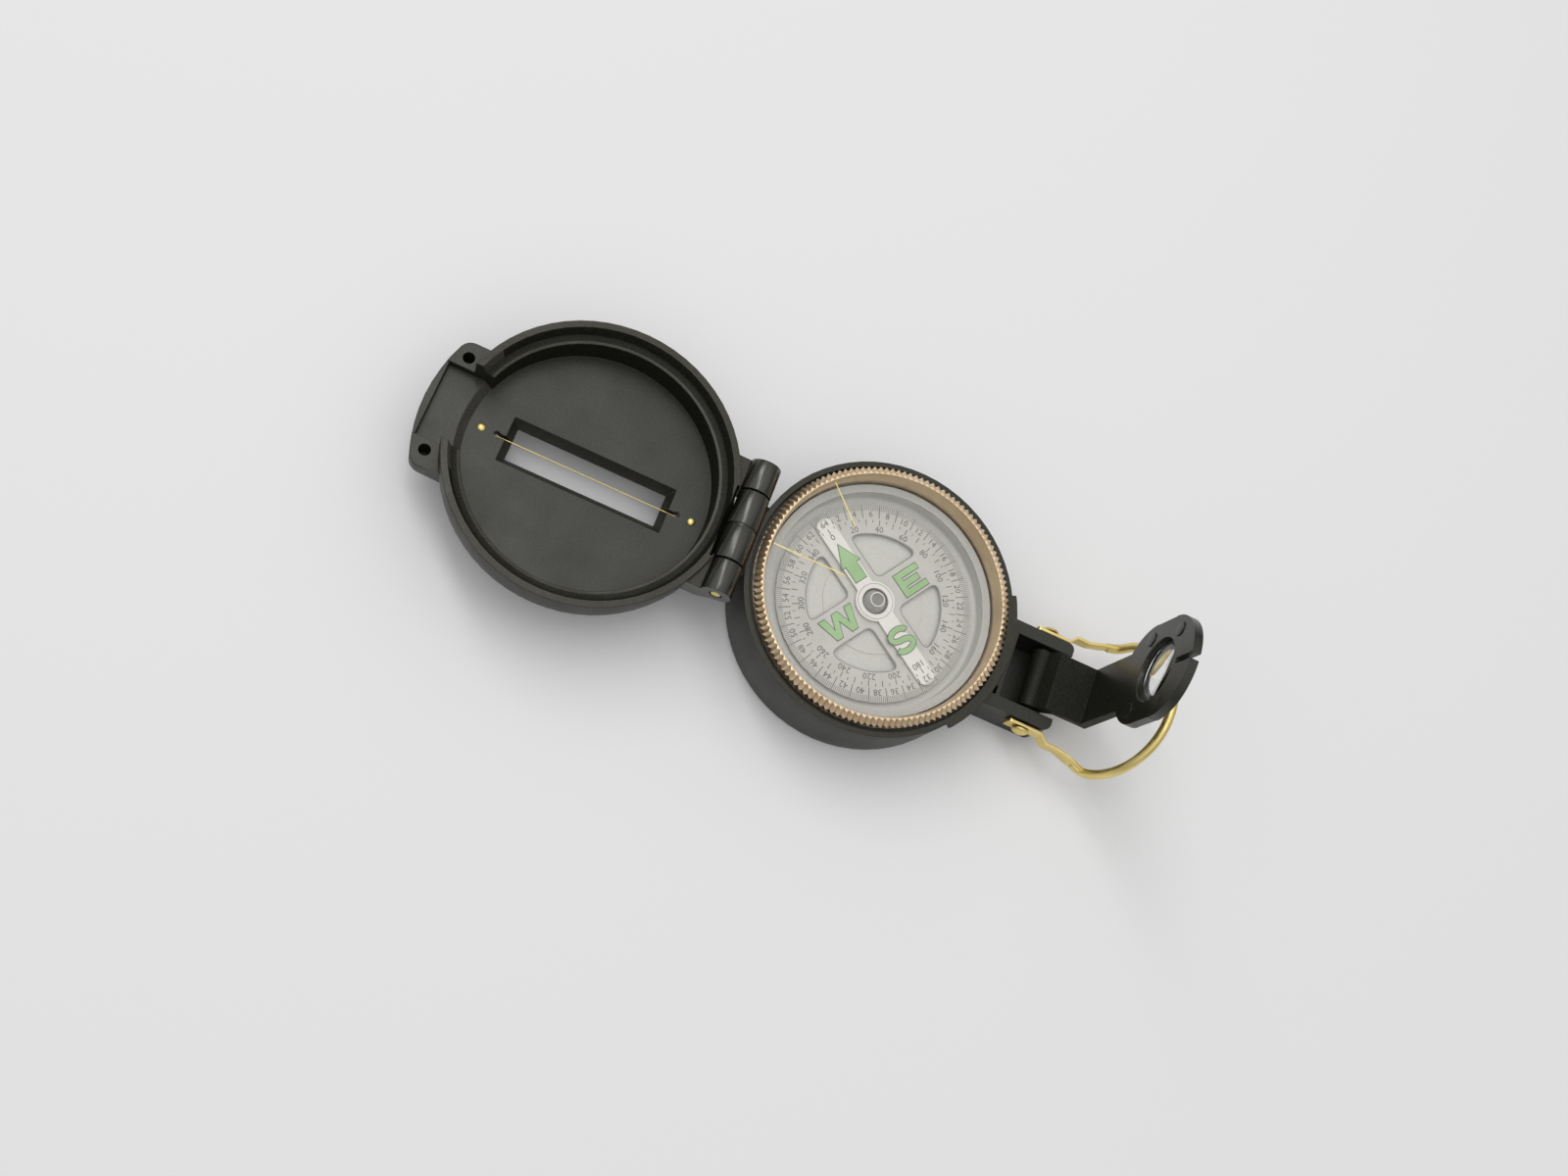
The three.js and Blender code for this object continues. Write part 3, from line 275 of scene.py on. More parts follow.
BLACK = ((0.0035, 0.0037, 0.002), (0.014, 0.0142, 0.0095))
# BROWN: rub wear and a painted highlight on the rims' level faces.
BROWN = ((0.010, 0.0085, 0.004), (0.026, 0.0225, 0.013))
# Painted light: the grey of the ramp's slope, lighter than the black plastic it is.
PAINTED_LIGHT_GREY = ((0.038, 0.037, 0.031), (0.058, 0.056, 0.049))
PALE = ((0.64, 0.63, 0.605), (0.69, 0.68, 0.655))
RUBBER_GREY = ((0.56, 0.56, 0.55), (0.62, 0.62, 0.60))
HUB_GREY = ((0.42, 0.405, 0.39), (0.50, 0.485, 0.47))
ALONG_Y = (1, 0.05, 1)
black_plastic = grained_plastic("black_plastic", BLACK, (0.42, 0.52), 0.5, sheen=0.62)
# A copy of black_plastic with less sheen: painted shade on faces that lie in shade.
dull_and_shaded_plastic = grained_plastic("dull_and_shaded_plastic", BLACK, (0.5, 0.6), 0.5, sheen=0.24)
smooth_plastic = grained_plastic("smooth_plastic", BLACK, (0.26, 0.36), 0.3, sheen=0.6)
# Rim faces: a lighter brown, as rub wear and painted highlight together.
worn_and_highlit_plastic = grained_plastic("worn_and_highlit_plastic", BROWN, (0.36, 0.48), 0.35, sheen=0.48)
# Painted light: a lighter grey on the ramp's slope.
painted_light_plastic = grained_plastic("painted_light_plastic", PAINTED_LIGHT_GREY, (0.4, 0.5), 0.4)
hinge_plastic = grained_plastic("hinge_plastic", BLACK, (0.2, 0.3), 0.14, sheen=0.9, streak=ALONG_Y)
pale_plastic = grained_plastic("pale_plastic", PALE, (0.3, 0.45), 0.05)
soft_rubber = grained_plastic("soft_rubber", RUBBER_GREY, (0.6, 0.75), 0.1)
hub_plastic = grained_plastic("hub_plastic", HUB_GREY, (0.2, 0.32), 0.03)
print("finishes after the plastics:", len(bpy.data.materials))

# %% [markdown]
# The metals are fully metallic shaders. Drawn brass shows short scratches along its length and dull
# spots, and the plated bezel is pinker, with a soft satin that varies over a few millimetres.
# Noise that is stretched along one axis gives the scratches without any mesh for them.

# %% Metals
METAL_CLOUDS = 160
SCRATCHES = 1500
SCRATCH_STRENGTH = 0.12
SCRATCH_DEPTH = 0.03


def metal(name, first, second, rough, scratch_stretch):
    """A metal: slow colour change, and stretched fine noise as scratches in roughness and bump."""
    material, tree, shader = finish(name, Metallic=1.0)
    blotched(tree, grain(tree, METAL_CLOUDS), shader.inputs["Base Color"], first, second)
    scratches = grain(tree, SCRATCHES, detail=4.0, stretch=scratch_stretch)
    spread(tree, scratches, shader.inputs["Roughness"], *rough)
    bumped(tree, shader, scratches, SCRATCH_STRENGTH, SCRATCH_DEPTH)
    return material


brass = metal("brass", (0.76, 0.60, 0.22), (0.88, 0.72, 0.30), (0.32, 0.5), (0.25, 1, 1))
bronze_plate = metal(
    "bronze_plate", (0.70, 0.53, 0.34), (0.80, 0.63, 0.43), (0.28, 0.4), (1, 1, 0.3)
)
steel = metal("steel", (0.5, 0.5, 0.51), (0.6, 0.6, 0.61), (0.25, 0.4), (1, 1, 0.2))
print("finishes after the metals:", len(bpy.data.materials))

# %% [markdown]
# Crystal, lens and capsule lid are clear. Cycles lets no lamp straight through glass, so for the
# lens the shader is swapped for a transparent one on shadow rays. Flat thin plates bend nothing
# that could be seen: they let everything straight through, and mirror a share of the light that
# grows as the view slants.

# %% Clear plastics
SMEARS = 120
LENS_IOR = 1.47
MIRROR_COLOUR = (0.95, 0.95, 0.95, 1)
MIRROR_POWER = 5
MIRROR_SHARES = (0.01, 0.7)


def passing(tree, tint):
    """A transparent shader of a tint; returns its output."""
    node = tree.nodes.new("ShaderNodeBsdfTransparent")
    node.inputs["Color"].default_value = (*tint, 1)
    return node.outputs["BSDF"]


def mixed_surface(tree, first, second):
    """Makes the surface a mix of two shaders and returns the socket of the second one's share."""
    mix = tree.nodes.new("ShaderNodeMixShader")
    tree.links.new(first, mix.inputs[1])
    tree.links.new(second, mix.inputs[2])
    tree.links.new(mix.outputs["Shader"], tree.nodes["Material Output"].inputs["Surface"])
    return mix.inputs["Fac"]


def clear(name, tint, rough, smear):
    """Glass for every ray but shadow rays, with faint smears in its roughness."""
    material, tree, shader = finish(
        name, Base_Color=(*tint, 1), Transmission_Weight=1.0, IOR=LENS_IOR
    )
    spread(tree, grain(tree, SMEARS), shader.inputs["Roughness"], rough, smear)
    path = tree.nodes.new("ShaderNodeLightPath")
    share = mixed_surface(tree, shader.outputs["BSDF"], passing(tree, tint))
    tree.links.new(path.outputs["Is Shadow Ray"], share)
    return material


def thin_plate(name, tint, rough, smear):
    """A clear sheet: Transparent, with a smeared mirror mixed in by the slant of the view to the
    fifth power."""
    material, tree, shader = finish(name, Base_Color=MIRROR_COLOUR, Metallic=1.0)
    spread(tree, grain(tree, SMEARS), shader.inputs["Roughness"], rough, smear)
    slant = tree.nodes.new("ShaderNodeLayerWeight")
    power = tree.nodes.new("ShaderNodeMath")
    power.operation = "POWER"
    power.inputs[1].default_value = MIRROR_POWER
    tree.links.new(slant.outputs["Facing"], power.inputs[0])
    share = mixed_surface(tree, passing(tree, tint), shader.outputs["BSDF"])
    spread(tree, power.outputs["Value"], share, *MIRROR_SHARES, 0, 1)
    return material


lens_clear = clear("lens_clear", (0.98, 0.985, 0.98), 0.0, 0.012)
crystal_clear = thin_plate("crystal_clear", (0.995, 0.995, 0.99), 0.02, 0.09)
lid_clear = thin_plate("lid_clear", (0.995, 0.995, 0.99), 0.03, 0.12)
print("finishes after the clear plastics:", len(bpy.data.materials))

# %% [markdown]
# The card and its print are painted surfaces: satin grey for the card, white for the magnet bar, a
# dusty pale green for the glowing paint, and a dark and a grey ink that are worn a little thin in
# places. Paint is never one even colour, so two close ones drift into each other.

# %% Paints
PAINT_CLOUDS = 220
PAINT_IOR = 1.45
TOOTH = 5200
TOOTH_STRENGTH = 0.1
TOOTH_DEPTH = 0.02


def paint(name, first, second, rough):
    """Paint: two close colours over a few millimetres, and a fine tooth."""
    material, tree, shader = finish(name, IOR=PAINT_IOR)
    blotched(tree, grain(tree, PAINT_CLOUDS), shader.inputs["Base Color"], first, second)
    tooth = grain(tree, TOOTH, detail=1.0)
    spread(tree, tooth, shader.inputs["Roughness"], *rough)
    bumped(tree, shader, tooth, TOOTH_STRENGTH, TOOTH_DEPTH)
    return material


dial_grey = paint("dial_grey", (0.62, 0.607, 0.575), (0.67, 0.657, 0.625), (0.5, 0.65))
bar_white = paint("bar_white", (0.88, 0.855, 0.825), (0.92, 0.895, 0.865), (0.45, 0.6))
glow_green = paint("glow_green", (0.38, 0.585, 0.30), (0.44, 0.65, 0.355), (0.55, 0.7))
dark_ink = paint("dark_ink", (0.13, 0.13, 0.13), (0.19, 0.19, 0.185), (0.5, 0.65))
grey_ink = paint("grey_ink", (0.26, 0.26, 0.25), (0.32, 0.32, 0.31), (0.5, 0.65))
print("finishes in all:", len(bpy.data.materials))

# %% [markdown]
# ## The mouldings
# Base, cover and eyepiece are moulded in one shot each, with ribs, bores and pockets that were cut
# as solids. Building them again would only repeat that work, so a copy of the solid is merged, its
# flat faces are joined back together and a small live Bevel takes the edge off, as a mould's
# corners do. The short edges of small holes stay sharp, because a bevel there would fold over.

# %% Copies of the solids
CAD_MERGE = 2e-6
LEVEL_DEG = 0.6
SMALL_EDGE = 0.45


def moulded_copy(node, name, edge, segments=2, edge_deg=28):
    """A copy of a node's mesh: doubles merged, level triangles joined, sharp edges bevelled but for
    those of small holes."""
    mesh = nodes[node].data.copy()
    mesh.name = name
    work = bmesh.new()
    work.from_mesh(mesh)
    bmesh.ops.remove_doubles(work, verts=work.verts, dist=CAD_MERGE)
    level = math.radians(LEVEL_DEG)
    bmesh.ops.dissolve_limit(work, angle_limit=level, verts=work.verts, edges=work.edges)
    weight = work.edges.layers.float.new("bevel_weight_edge")
    curved = set()
    for e in work.edges:
        angle = math.degrees(e.calc_face_angle())
        if angle > edge_deg:
            e[weight] = float(e.calc_length() > SMALL_EDGE * MM)
            e.smooth = e[weight] > 0
        elif angle > LEVEL_DEG:
            curved.add(e)
    for face in work.faces:
        face.smooth = not curved.isdisjoint(face.edges)
    work.to_mesh(mesh)
    work.free()
    piece = linked(name, mesh)
    bevel = piece.modifiers.new("edge", "BEVEL")
    bevel.width = edge * MM
    bevel.segments = segments
    bevel.limit_method = "WEIGHT"
    bevel.use_clamp_overlap = False
    bevel.harden_normals = True
    return piece


# %% [markdown]
# A rubbed and highlit rim, a wall with painted shade or a polished knuckle is only another finish on
# some faces of the same moulding. Those faces could be picked by hand in edit mode. Here they are
# picked by where they lie and which way they look, so the choice still holds when the solid changes.

# %% Choosing faces
def face_places(piece):
    """The middles of a piece's faces in millimetres and the faces' normals, as whole arrays."""
    count = len(piece.data.polygons)
    middles, normals = np.empty(3 * count), np.empty(3 * count)
    piece.data.polygons.foreach_get("center", middles)
    piece.data.polygons.foreach_get("normal", normals)
    return middles.reshape(-1, 3) / MM, normals.reshape(-1, 3)


def between(values, limits):
    """Which values lie between two limits."""
    return (values > limits[0]) & (values < limits[1])


def repaint(piece, chosen, material):
    """Gives the chosen faces of a piece another material."""
    index = np.empty(len(piece.data.polygons), dtype=np.int32)
    piece.data.polygons.foreach_get("material_index", index)
    index[chosen] = len(piece.data.materials)
    piece.data.materials.append(material)
    piece.data.polygons.foreach_set("material_index", index)


# %% [markdown]
# Base and cover are dressed alike in the same two places: the level faces of the rim, which a hand
# and the table touch and which get a lighter brown of rub wear and painted highlight, and the
# knuckles, which turn against each other. So one function dresses both.

# %% Base and cover
EDGE = 0.14
BARREL_RADIUS = 3.1
LEVEL_FACE = 0.98
RIM_OVER_FLOOR = 5.0
pin_low, pin_high = box_mm("hinge_pin")
hinge = (pin_low + pin_high) / 2


def on_barrel(middles):
    """Which faces lie on the hinge's barrel, by their distance from its axis."""
    return np.hypot(middles[:, 0] - hinge[0], middles[:, 2] - hinge[2]) < BARREL_RADIUS + EDGE


def worn_moulding(node, name, body, rim_height):
    """A black moulding with polished knuckles, whose level faces above a height get a lighter brown:
    rub wear and painted highlight.
    """
    piece = dress(moulded_copy(node, name, EDGE), body, "black_plastic", black_plastic, node)
    middles, normals = face_places(piece)
    barrel = on_barrel(middles)
    # Level faces above the height: a lighter brown, as rub wear and painted highlight.
    rim = (middles[:, 2] > rim_height) & (normals[:, 2] > LEVEL_FACE)
    repaint(piece, rim & ~barrel, worn_and_highlit_plastic)
    repaint(piece, barrel, hinge_plastic)
    return piece


lid_top = box_mm("capsule_lid")[1][2]
worn_moulding("base_case", "base_moulding", "base", lid_top)
cover_floor = box_mm("wire_pin_outer")[1][2]
cover_moulding = worn_moulding(
    "cover_shell", "cover_moulding", "cover", cover_floor + RIM_OVER_FLOOR
)

# %% [markdown]
# The cover's inner wall gets the copy with less sheen all the way round, which is painted shade. At
# the end tab a sloping ramp leads out of the cover, and its face is painted a lighter grey, which is
# painted light. The wall is found by its distance from the cover's middle, and the ramp by its slope
# towards the hinge.

# %% Inside the cover
WALL_RADII = (24.4, 27.2)
WALL_SLOPES = (-0.1, 0.99)
RAMP_FROM = 20.0
RAMP_HALF = 12.0
RAMP_SLOPES = (0.2, 0.97)
RAMP_FACING = 0.3
cover_middle = (box_mm("wire_pin_outer")[0][0] + box_mm("wire_pin_inner")[1][0]) / 2
middles, normals = face_places(cover_moulding)
from_middle = np.hypot(middles[:, 0] - cover_middle, middles[:, 1])
wall = between(from_middle, WALL_RADII) & between(normals[:, 2], WALL_SLOPES)
wall &= middles[:, 2] > cover_floor
ramp = (middles[:, 0] < cover_middle - RAMP_FROM) & (np.abs(middles[:, 1]) < RAMP_HALF)
ramp &= between(normals[:, 2], RAMP_SLOPES) & (normals[:, 0] > RAMP_FACING)
# Painted shade: the wall's faces get the copy with less sheen.
repaint(cover_moulding, wall & ~ramp & ~on_barrel(middles), dull_and_shaded_plastic)
# Painted light: the ramp's faces get a lighter grey.
repaint(cover_moulding, ramp, painted_light_plastic)
print("faces of the wall:", wall.sum(), "and of the ramp:", ramp.sum())

# %% [markdown]
# The eyepiece is an arm with a plate across its end, and the plate holds the lens. The plate's front
# is smooth from handling, while the arm and the barrel behind it get the copy with less sheen: a
# dull finish, and painted shade behind the plate as well. The plate's front face lies a little before
# the lens, so the lens tells where to part the two finishes.

# %% Eyepiece
PLATE_FRONT_BEFORE_LENS = 0.45
lens_low, lens_high = box_mm("magnifier_lens")
lens_middle = (lens_low + lens_high) / 2
plate_front = lens_low[0] - PLATE_FRONT_BEFORE_LENS
eyepiece_moulding = dress(
    moulded_copy("eyepiece_bracket", "eyepiece_moulding", EDGE),
    "eyepiece",
    "black_plastic",
    smooth_plastic,
    "eyepiece_bracket",
)
middles, _ = face_places(eyepiece_moulding)
# Painted shade behind the plate: the arm and barrel get less sheen.
repaint(eyepiece_moulding, middles[:, 0] < plate_front - 2 * EDGE, dull_and_shaded_plastic)

# %% [markdown]
# The eyepiece plate has four faint round marks on its front, where the mould's ejector pins pushed
# it out. A bump map could hint at them, but then the exported mesh would lose them, so each is a
# very low turned disc lying against the plate.

# %% Ejector marks
MARK_RADIUS = 1.5
MARK_PROUD = 0.2
MARK_EASING = 0.05
MARK_PLACES = [(7.0, 5.8), (7.5, -5.3), (-7.2, -6.8), (-7.8, 4.1)]
mark_profile = rod_profile(MARK_RADIUS, -MARK_PROUD, MARK_PROUD, MARK_EASING)
mark_points, mark_quads = turned(mark_profile, columns=48)
marks = []
for side, up in MARK_PLACES:
    place = (plate_front, side, lens_middle[2] + up)
    marks.append((lying(mark_points, "X", place), mark_quads))
dress(new_piece("ejector_marks", *gathered(marks)), "eyepiece", "black_plastic", smooth_plastic)

# %% [markdown]
# ## Bezel, crystal and capsule
# The bezel is a turned ring whose outer face is a cone with straight ribs rolled into it, from the
# crest round the crystal down to its outer edge. Cutting the ribs one by one would be slow. A grid
# of profile by angle takes them directly: each point on the cone moves in by a wave of the angle,
# so the ribs are real shape. The grid has eight columns for every rib.

# %% Bezel ring
KNURL_TEETH = 130
COLUMNS_PER_TOOTH = 8
KNURL_DEPTH = 0.4
KNURL_HEIGHT = 1.13
KNURL_REACH = 0.8
KNURL_CREST = 0.3
RIB_DEPTH = 0.58
RIB_FADE = 0.1
RIB_FULL = 0.8
BEZEL_WALL = 1.6
BEZEL_EASING = 0.1
CRYSTAL_GAP = 0.3
GROOVE_DEPTH = 0.6
LEDGE_SLOPE = 1.2
RIB_SMOOTH_DEG = 50
bezel_low, bezel_high = box_mm("bezel_ring")
crystal_low, crystal_high = box_mm("crystal")
snap_low, snap_high = box_mm("bezel_snap_ring")


def smooth_step(value, start, end):
    """0 before start, 1 after end and 3ss - 2sss between, with s the share of the way."""
    share = np.clip((value - start) / (end - start), 0, 1)
    return share * share * (3 - 2 * share)


def knurled_ring():
    """The bezel's profile round Z. A point of the cone at radius r moves in by depth * share * wave:
    the wave goes from 0 to 1 and back over each tooth, and the share grows from 0 at the crest."""
    tip = bezel_high[0]
    skirt = tip - KNURL_REACH
    bore = skirt - BEZEL_WALL
    seat = crystal_high[0] + CRYSTAL_GAP
    crest = seat + KNURL_CREST
    low, top = bezel_low[2], bezel_high[2]
    under = top - KNURL_HEIGHT
    ledge = crystal_low[2] - CRYSTAL_GAP
    groove_low, groove_high = snap_low[2] - CRYSTAL_GAP, snap_high[2] + CRYSTAL_GAP
    groove_floor = skirt - GROOVE_DEPTH
    corners = [
        (bore, low),
        (skirt, low),
        (skirt, groove_low),
        (groove_floor, groove_low),
        (groove_floor, groove_high),
        (skirt, groove_high),
        (skirt, under),
        (tip, under),
        (crest + KNURL_DEPTH, top),
        (seat, top),
        (seat, ledge),
        (bore, ledge - LEDGE_SLOPE),
    ]
    profile = softened(corners, BEZEL_EASING, steps=3)
    columns = KNURL_TEETH * COLUMNS_PER_TOOTH
    points, quads = turned(profile, columns, ring=True)
    grid = points.reshape(len(profile), columns, 3)
    radius = np.hypot(grid[..., 0], grid[..., 1])
    wave = 1 - np.abs(2 * np.mod(np.arange(columns) / COLUMNS_PER_TOOTH, 1) - 1)
    share = smooth_step(radius, crest - RIB_FADE, crest + RIB_FULL * KNURL_DEPTH)
    share *= smooth_step(grid[..., 2], under - RIB_FADE, under)
    grid[..., :2] *= (1 - RIB_DEPTH * share * wave / radius)[..., None]
    return grid.reshape(-1, 3), quads


bezel = new_piece("bezel", *knurled_ring(), smooth_deg=RIB_SMOOTH_DEG)
dress(bezel, "bezel", "bronze_plate", bronze_plate, "bezel_ring")

# %% [markdown]
# The crystal is a clear disc with a small bevel round its face. Two fine gold index lines lie on it,
# one short and one long, 45 degrees apart. They could be painted by a texture. Here each is a thin
# raised strip, narrow enough to read a degree by.

# %% Crystal and index lines
CRYSTAL_EASING = 0.12
INDEX_LINES = [(135, 14.6), (180, 8.7)]  # azimuth and inner radius
INDEX_MARGIN = 0.1
INDEX_WIDTH = 0.2
INDEX_PROUD = 0.03


def clear_disc(node, easing):
    """A disc with the node's radius and heights, its edges eased."""
    low, high = box_mm(node)
    return turned(rod_profile(high[0], low[2], high[2], easing))


def radial_bars(azimuths, inner, outer, width, low, high):
    """One flat box for each azimuth a, from an inner to an outer radius. With u along it and w
    across it, x = u cos a - w sin a and y = u sin a + w cos a."""
    a = np.radians(np.atleast_1d(np.asarray(azimuths, dtype=float)))[:, None]
    ends = np.broadcast_arrays(inner, outer, a[:, 0])[:2]
    u = np.stack([ends[0], ends[1], ends[1], ends[0]] * 2, axis=-1)
    w = np.array([-1, -1, 1, 1] * 2)[None] * width / 2
    z = np.broadcast_to(np.repeat([low, high], 4)[None], (len(a), 8))
    points = np.stack([u * np.cos(a) - w * np.sin(a), u * np.sin(a) + w * np.cos(a), z], axis=-1)
    caps = [[3, 2, 1, 0], [4, 5, 6, 7]]
    sides = [[0, 1, 5, 4], [1, 2, 6, 5], [2, 3, 7, 6], [3, 0, 4, 7]]
    faces = np.array(caps + sides)[None] + 8 * np.arange(len(a))[:, None, None]
    return points.reshape(-1, 3), faces.reshape(-1, 4)


crystal_disc = new_piece("crystal_disc", *clear_disc("crystal", CRYSTAL_EASING))
dress(crystal_disc, "bezel", "crystal", crystal_clear, "crystal")
index_low, index_top = crystal_high[2] - INDEX_PROUD, crystal_high[2] + INDEX_PROUD
index_outer = crystal_high[0] - INDEX_MARGIN
index_parts = [
    radial_bars(azimuth, inner, index_outer, INDEX_WIDTH, index_low, index_top)
    for azimuth, inner in INDEX_LINES
]
dress(new_piece("index_lines", *gathered(index_parts)), "bezel", "brass", brass)

# %% [markdown]
# Under the crystal lies the sealed capsule: a pale cup with a raised boss in its floor, a gasket and
# a clear lid. The cup's wall and the boss show as the faint rings round the card and through its
# windows, so both are turned in one profile, with a wide curve where wall and floor meet.

# %% Capsule
CUP_WALL = 1.6
CUP_FLOOR = 1.6
BOSS_RADIUS = 10.4
BOSS_HEIGHT = 0.2
NEEDLE_HOLE = 0.9
LID_EASING = 0.2
cup_low, cup_high = box_mm("capsule_cup")


def cup_surface():
    """The cup's profile round Z: underside, wall, floor, boss and the needle's hole. Each row is
    radius, height and rounding."""
    outer, under, rim = cup_high[0], cup_low[2], cup_high[2]
    bore = outer - CUP_WALL
    floor = under + CUP_FLOOR
    boss = floor + BOSS_HEIGHT
    return turned_from([
        (0, under, 0),
        (outer, under, 0.3),
        (outer, rim, 0.15),
        (bore, rim, 0.3),
        (bore, floor, 0.8),
        (BOSS_RADIUS, floor, 0.15),
        (BOSS_RADIUS, boss, 0.15),
        (NEEDLE_HOLE, boss, 0.1),
        (NEEDLE_HOLE, floor, 0.1),
        (0, floor, 0),
    ])


dress(new_piece("cup", *cup_surface()), "base", "pale_plastic", pale_plastic, "capsule_cup")
lid = new_piece("lid", *clear_disc("capsule_lid", LID_EASING))
dress(lid, "base", "clear_plastic", lid_clear, "capsule_lid")

# %% [markdown]
# The flat card and the small inner pieces of metal, rubber and plastic keep their CAD solids. Those
# are the right shape already, so they only get their finishes.

# %% Finishes on the kept solids
KEPT_SOLIDS = {
    "capsule_gasket": soft_rubber,
    "pivot_needle": steel,
    "bezel_snap_ring": steel,
    "lens_ring": black_plastic,
    "card_disc": dial_grey,
}
for node, material in KEPT_SOLIDS.items():
    nodes[node].data.materials.clear()
    nodes[node].data.materials.append(material)
print("kept solids:", ", ".join(KEPT_SOLIDS))

# %% [markdown]
# ## The card
# The card is a flat disc with four windows, which CAD has cut. The magnet bar with its ring lies on
# it, and the jewel cup stands in the middle on the needle. The bar is a copy of its solid with eased
# edges. The jewel is turned, and its top is a white rim round a grey hollow.

# %% Magnet bar and jewel
BAR_EDGE = 0.12
JEWEL_CROWN = 0.9
JEWEL_CONE = 1.2
JEWEL_TOP_RADIUS = 1.5
JEWEL_RING = 1.24
JEWEL_HOLLOW = 0.35
JEWEL_DRAFT = 0.05
JEWEL_BAND = 0.05
FACING_UP = 0.9
magnet_bar = moulded_copy("card_magnet", "magnet_bar", BAR_EDGE, segments=3)
dress(magnet_bar, "card", "white_paint", bar_white, "card_magnet")
bar_low, bar_high = box_mm("card_magnet")
jewel_low, jewel_high = box_mm("jewel_cup")
jewel_top = jewel_high[2]
hollow_radius = JEWEL_RING - JEWEL_DRAFT
jewel_rows = [  # radius, height and rounding
    (0, jewel_top - JEWEL_CROWN, 0),
    (JEWEL_CONE, jewel_low[2], 0.1),
    (jewel_high[0], jewel_low[2], 0.1),
    (jewel_high[0], bar_low[2], 0.3),
    (JEWEL_TOP_RADIUS, jewel_top, 0.1),
    (JEWEL_RING, jewel_top, 0.1),
    (hollow_radius, jewel_top - JEWEL_HOLLOW, 0.1),
    (0, jewel_top - JEWEL_HOLLOW, 0),
]
jewel = new_piece("jewel", *turned_from(jewel_rows, columns=64))
dress(jewel, "card", "hub_grey", hub_plastic, "jewel_cup")
middles, normals = face_places(jewel)
facing_up = normals[:, 2] > FACING_UP
repaint(jewel, facing_up & (middles[:, 2] > jewel_top - JEWEL_BAND), bar_white)
repaint(jewel, facing_up & (np.hypot(middles[:, 0], middles[:, 1]) < hollow_radius), grey_ink)

# %% [markdown]
# The dial is printed: an outer scale of fine ticks with numbers up to 64, an inner scale of degrees,
# outlines round the windows, and the bold letters and arrow in pale green. Printing would be a
# texture elsewhere. Here each mark is a very thin box or letter lying on the card, so the print is
# sharp at any distance and goes along with the exported mesh. Ticks that meet the magnet bar step
# up onto its face.

# %% Scales
NORTH_DEG = 145.6
INK = 0.03
BAR_LENGTH = 39
BAR_WIDTH = 3.8
ALMOST_NONE = 1e-6
card_high = box_mm("card_disc")[1]
ink_low, ink_top = card_high[2] - INK, card_high[2] + INK
bar_ink_low, bar_ink_top = bar_high[2] - INK, bar_high[2] + INK


def bearing(turns):
    """The azimuth of a share of a full turn, counted clockwise from the card's north."""
    return NORTH_DEG - 360 * np.asarray(turns, dtype=float)


def bar_end(turns):
    """How far out the magnet bar reaches under each tick. Near its axis that is the round end,
    m cos a + root(h h - m m sin a sin a) with m the round's middle and h half the width; elsewhere
    it is h / sin a, where the tick leaves the bar's side."""
    half = BAR_WIDTH / 2
    middle = BAR_LENGTH / 2 - half
    turn = 2 * np.pi * np.asarray(turns, dtype=float)
    across = np.abs(np.sin(turn))
    root = half**2 - (middle * across) ** 2
    round_end = middle * np.abs(np.cos(turn)) + np.sqrt(np.maximum(root, 0))
    return np.where(root > 0, round_end, half / np.maximum(across, ALMOST_NONE))


def ticks(turns, inner, outer, width):
    """Ticks from an inner to an outer radius: the share over the magnet bar lies on its face, the
    rest on the card."""
    end = bar_end(turns)
    azimuths = bearing(turns)
    over_bar = end > inner + width
    over_card = end < outer - width
    bar_outer = np.minimum(end, outer)[over_bar]
    card_inner = np.maximum(end, inner)[over_card]
    bar_part = radial_bars(azimuths[over_bar], inner, bar_outer, width, bar_ink_low, bar_ink_top)
    card_part = radial_bars(azimuths[over_card], card_inner, outer, width, ink_low, ink_top)
    return gathered([bar_part, card_part]) if over_bar.any() else card_part


FINE_TICKS = 320
MIL_MARKS = 64
TENS = 36
PRINT_MARGIN = 0.1
print_edge = card_high[0] - PRINT_MARGIN
scale_rows = [  # shares of a turn, inner radius, outer radius and width
    (np.arange(FINE_TICKS) / FINE_TICKS, 19.0, print_edge, 0.09),
    (np.arange(1, MIL_MARKS, 2) / MIL_MARKS, 17.4, print_edge, 0.16),
    (np.arange(TENS) / TENS, 15.9, 17.1, 0.16),
    ((np.arange(TENS) + 0.5) / TENS, 16.5, 17.1, 0.13),
]
scale_parts = [ticks(*row) for row in scale_rows]
dress(new_piece("scale_ticks", *gathered(scale_parts)), "card", "dial_print", dark_ink)

# %% [markdown]
# Both scales carry numbers whose tops point outwards. Blender's own font is plain enough for a dial.
# Each number is a text curve that is made a mesh first and then turned to its place, and all of them
# are gathered in one mesh, because fifty separate objects would be hard to keep in order.

# %% Numbers
CAP_SHARE = 0.69
LETTER_STEPS = 2
NUMBER_HEIGHT = 1.25
MIL_NUMBER_RADIUS = 18.2
DEGREE_NUMBER_RADIUS = 15.1


def flat_word(text, height, thickness):
    """A word as a flat mesh about the origin, with its figures this high."""
    curve = bpy.data.curves.new("word", "FONT")
    curve.body = text
    curve.align_x = "CENTER"
    curve.align_y = "CENTER"
    curve.size = height / CAP_SHARE
    curve.extrude = thickness / 2
    curve.resolution_u = LETTER_STEPS
    holder = linked("word", curve)
    graph = bpy.context.evaluated_depsgraph_get()
    flat = bpy.data.meshes.new_from_object(holder.evaluated_get(graph))
    bpy.data.objects.remove(holder)
    bpy.data.curves.remove(curve)
    return flat


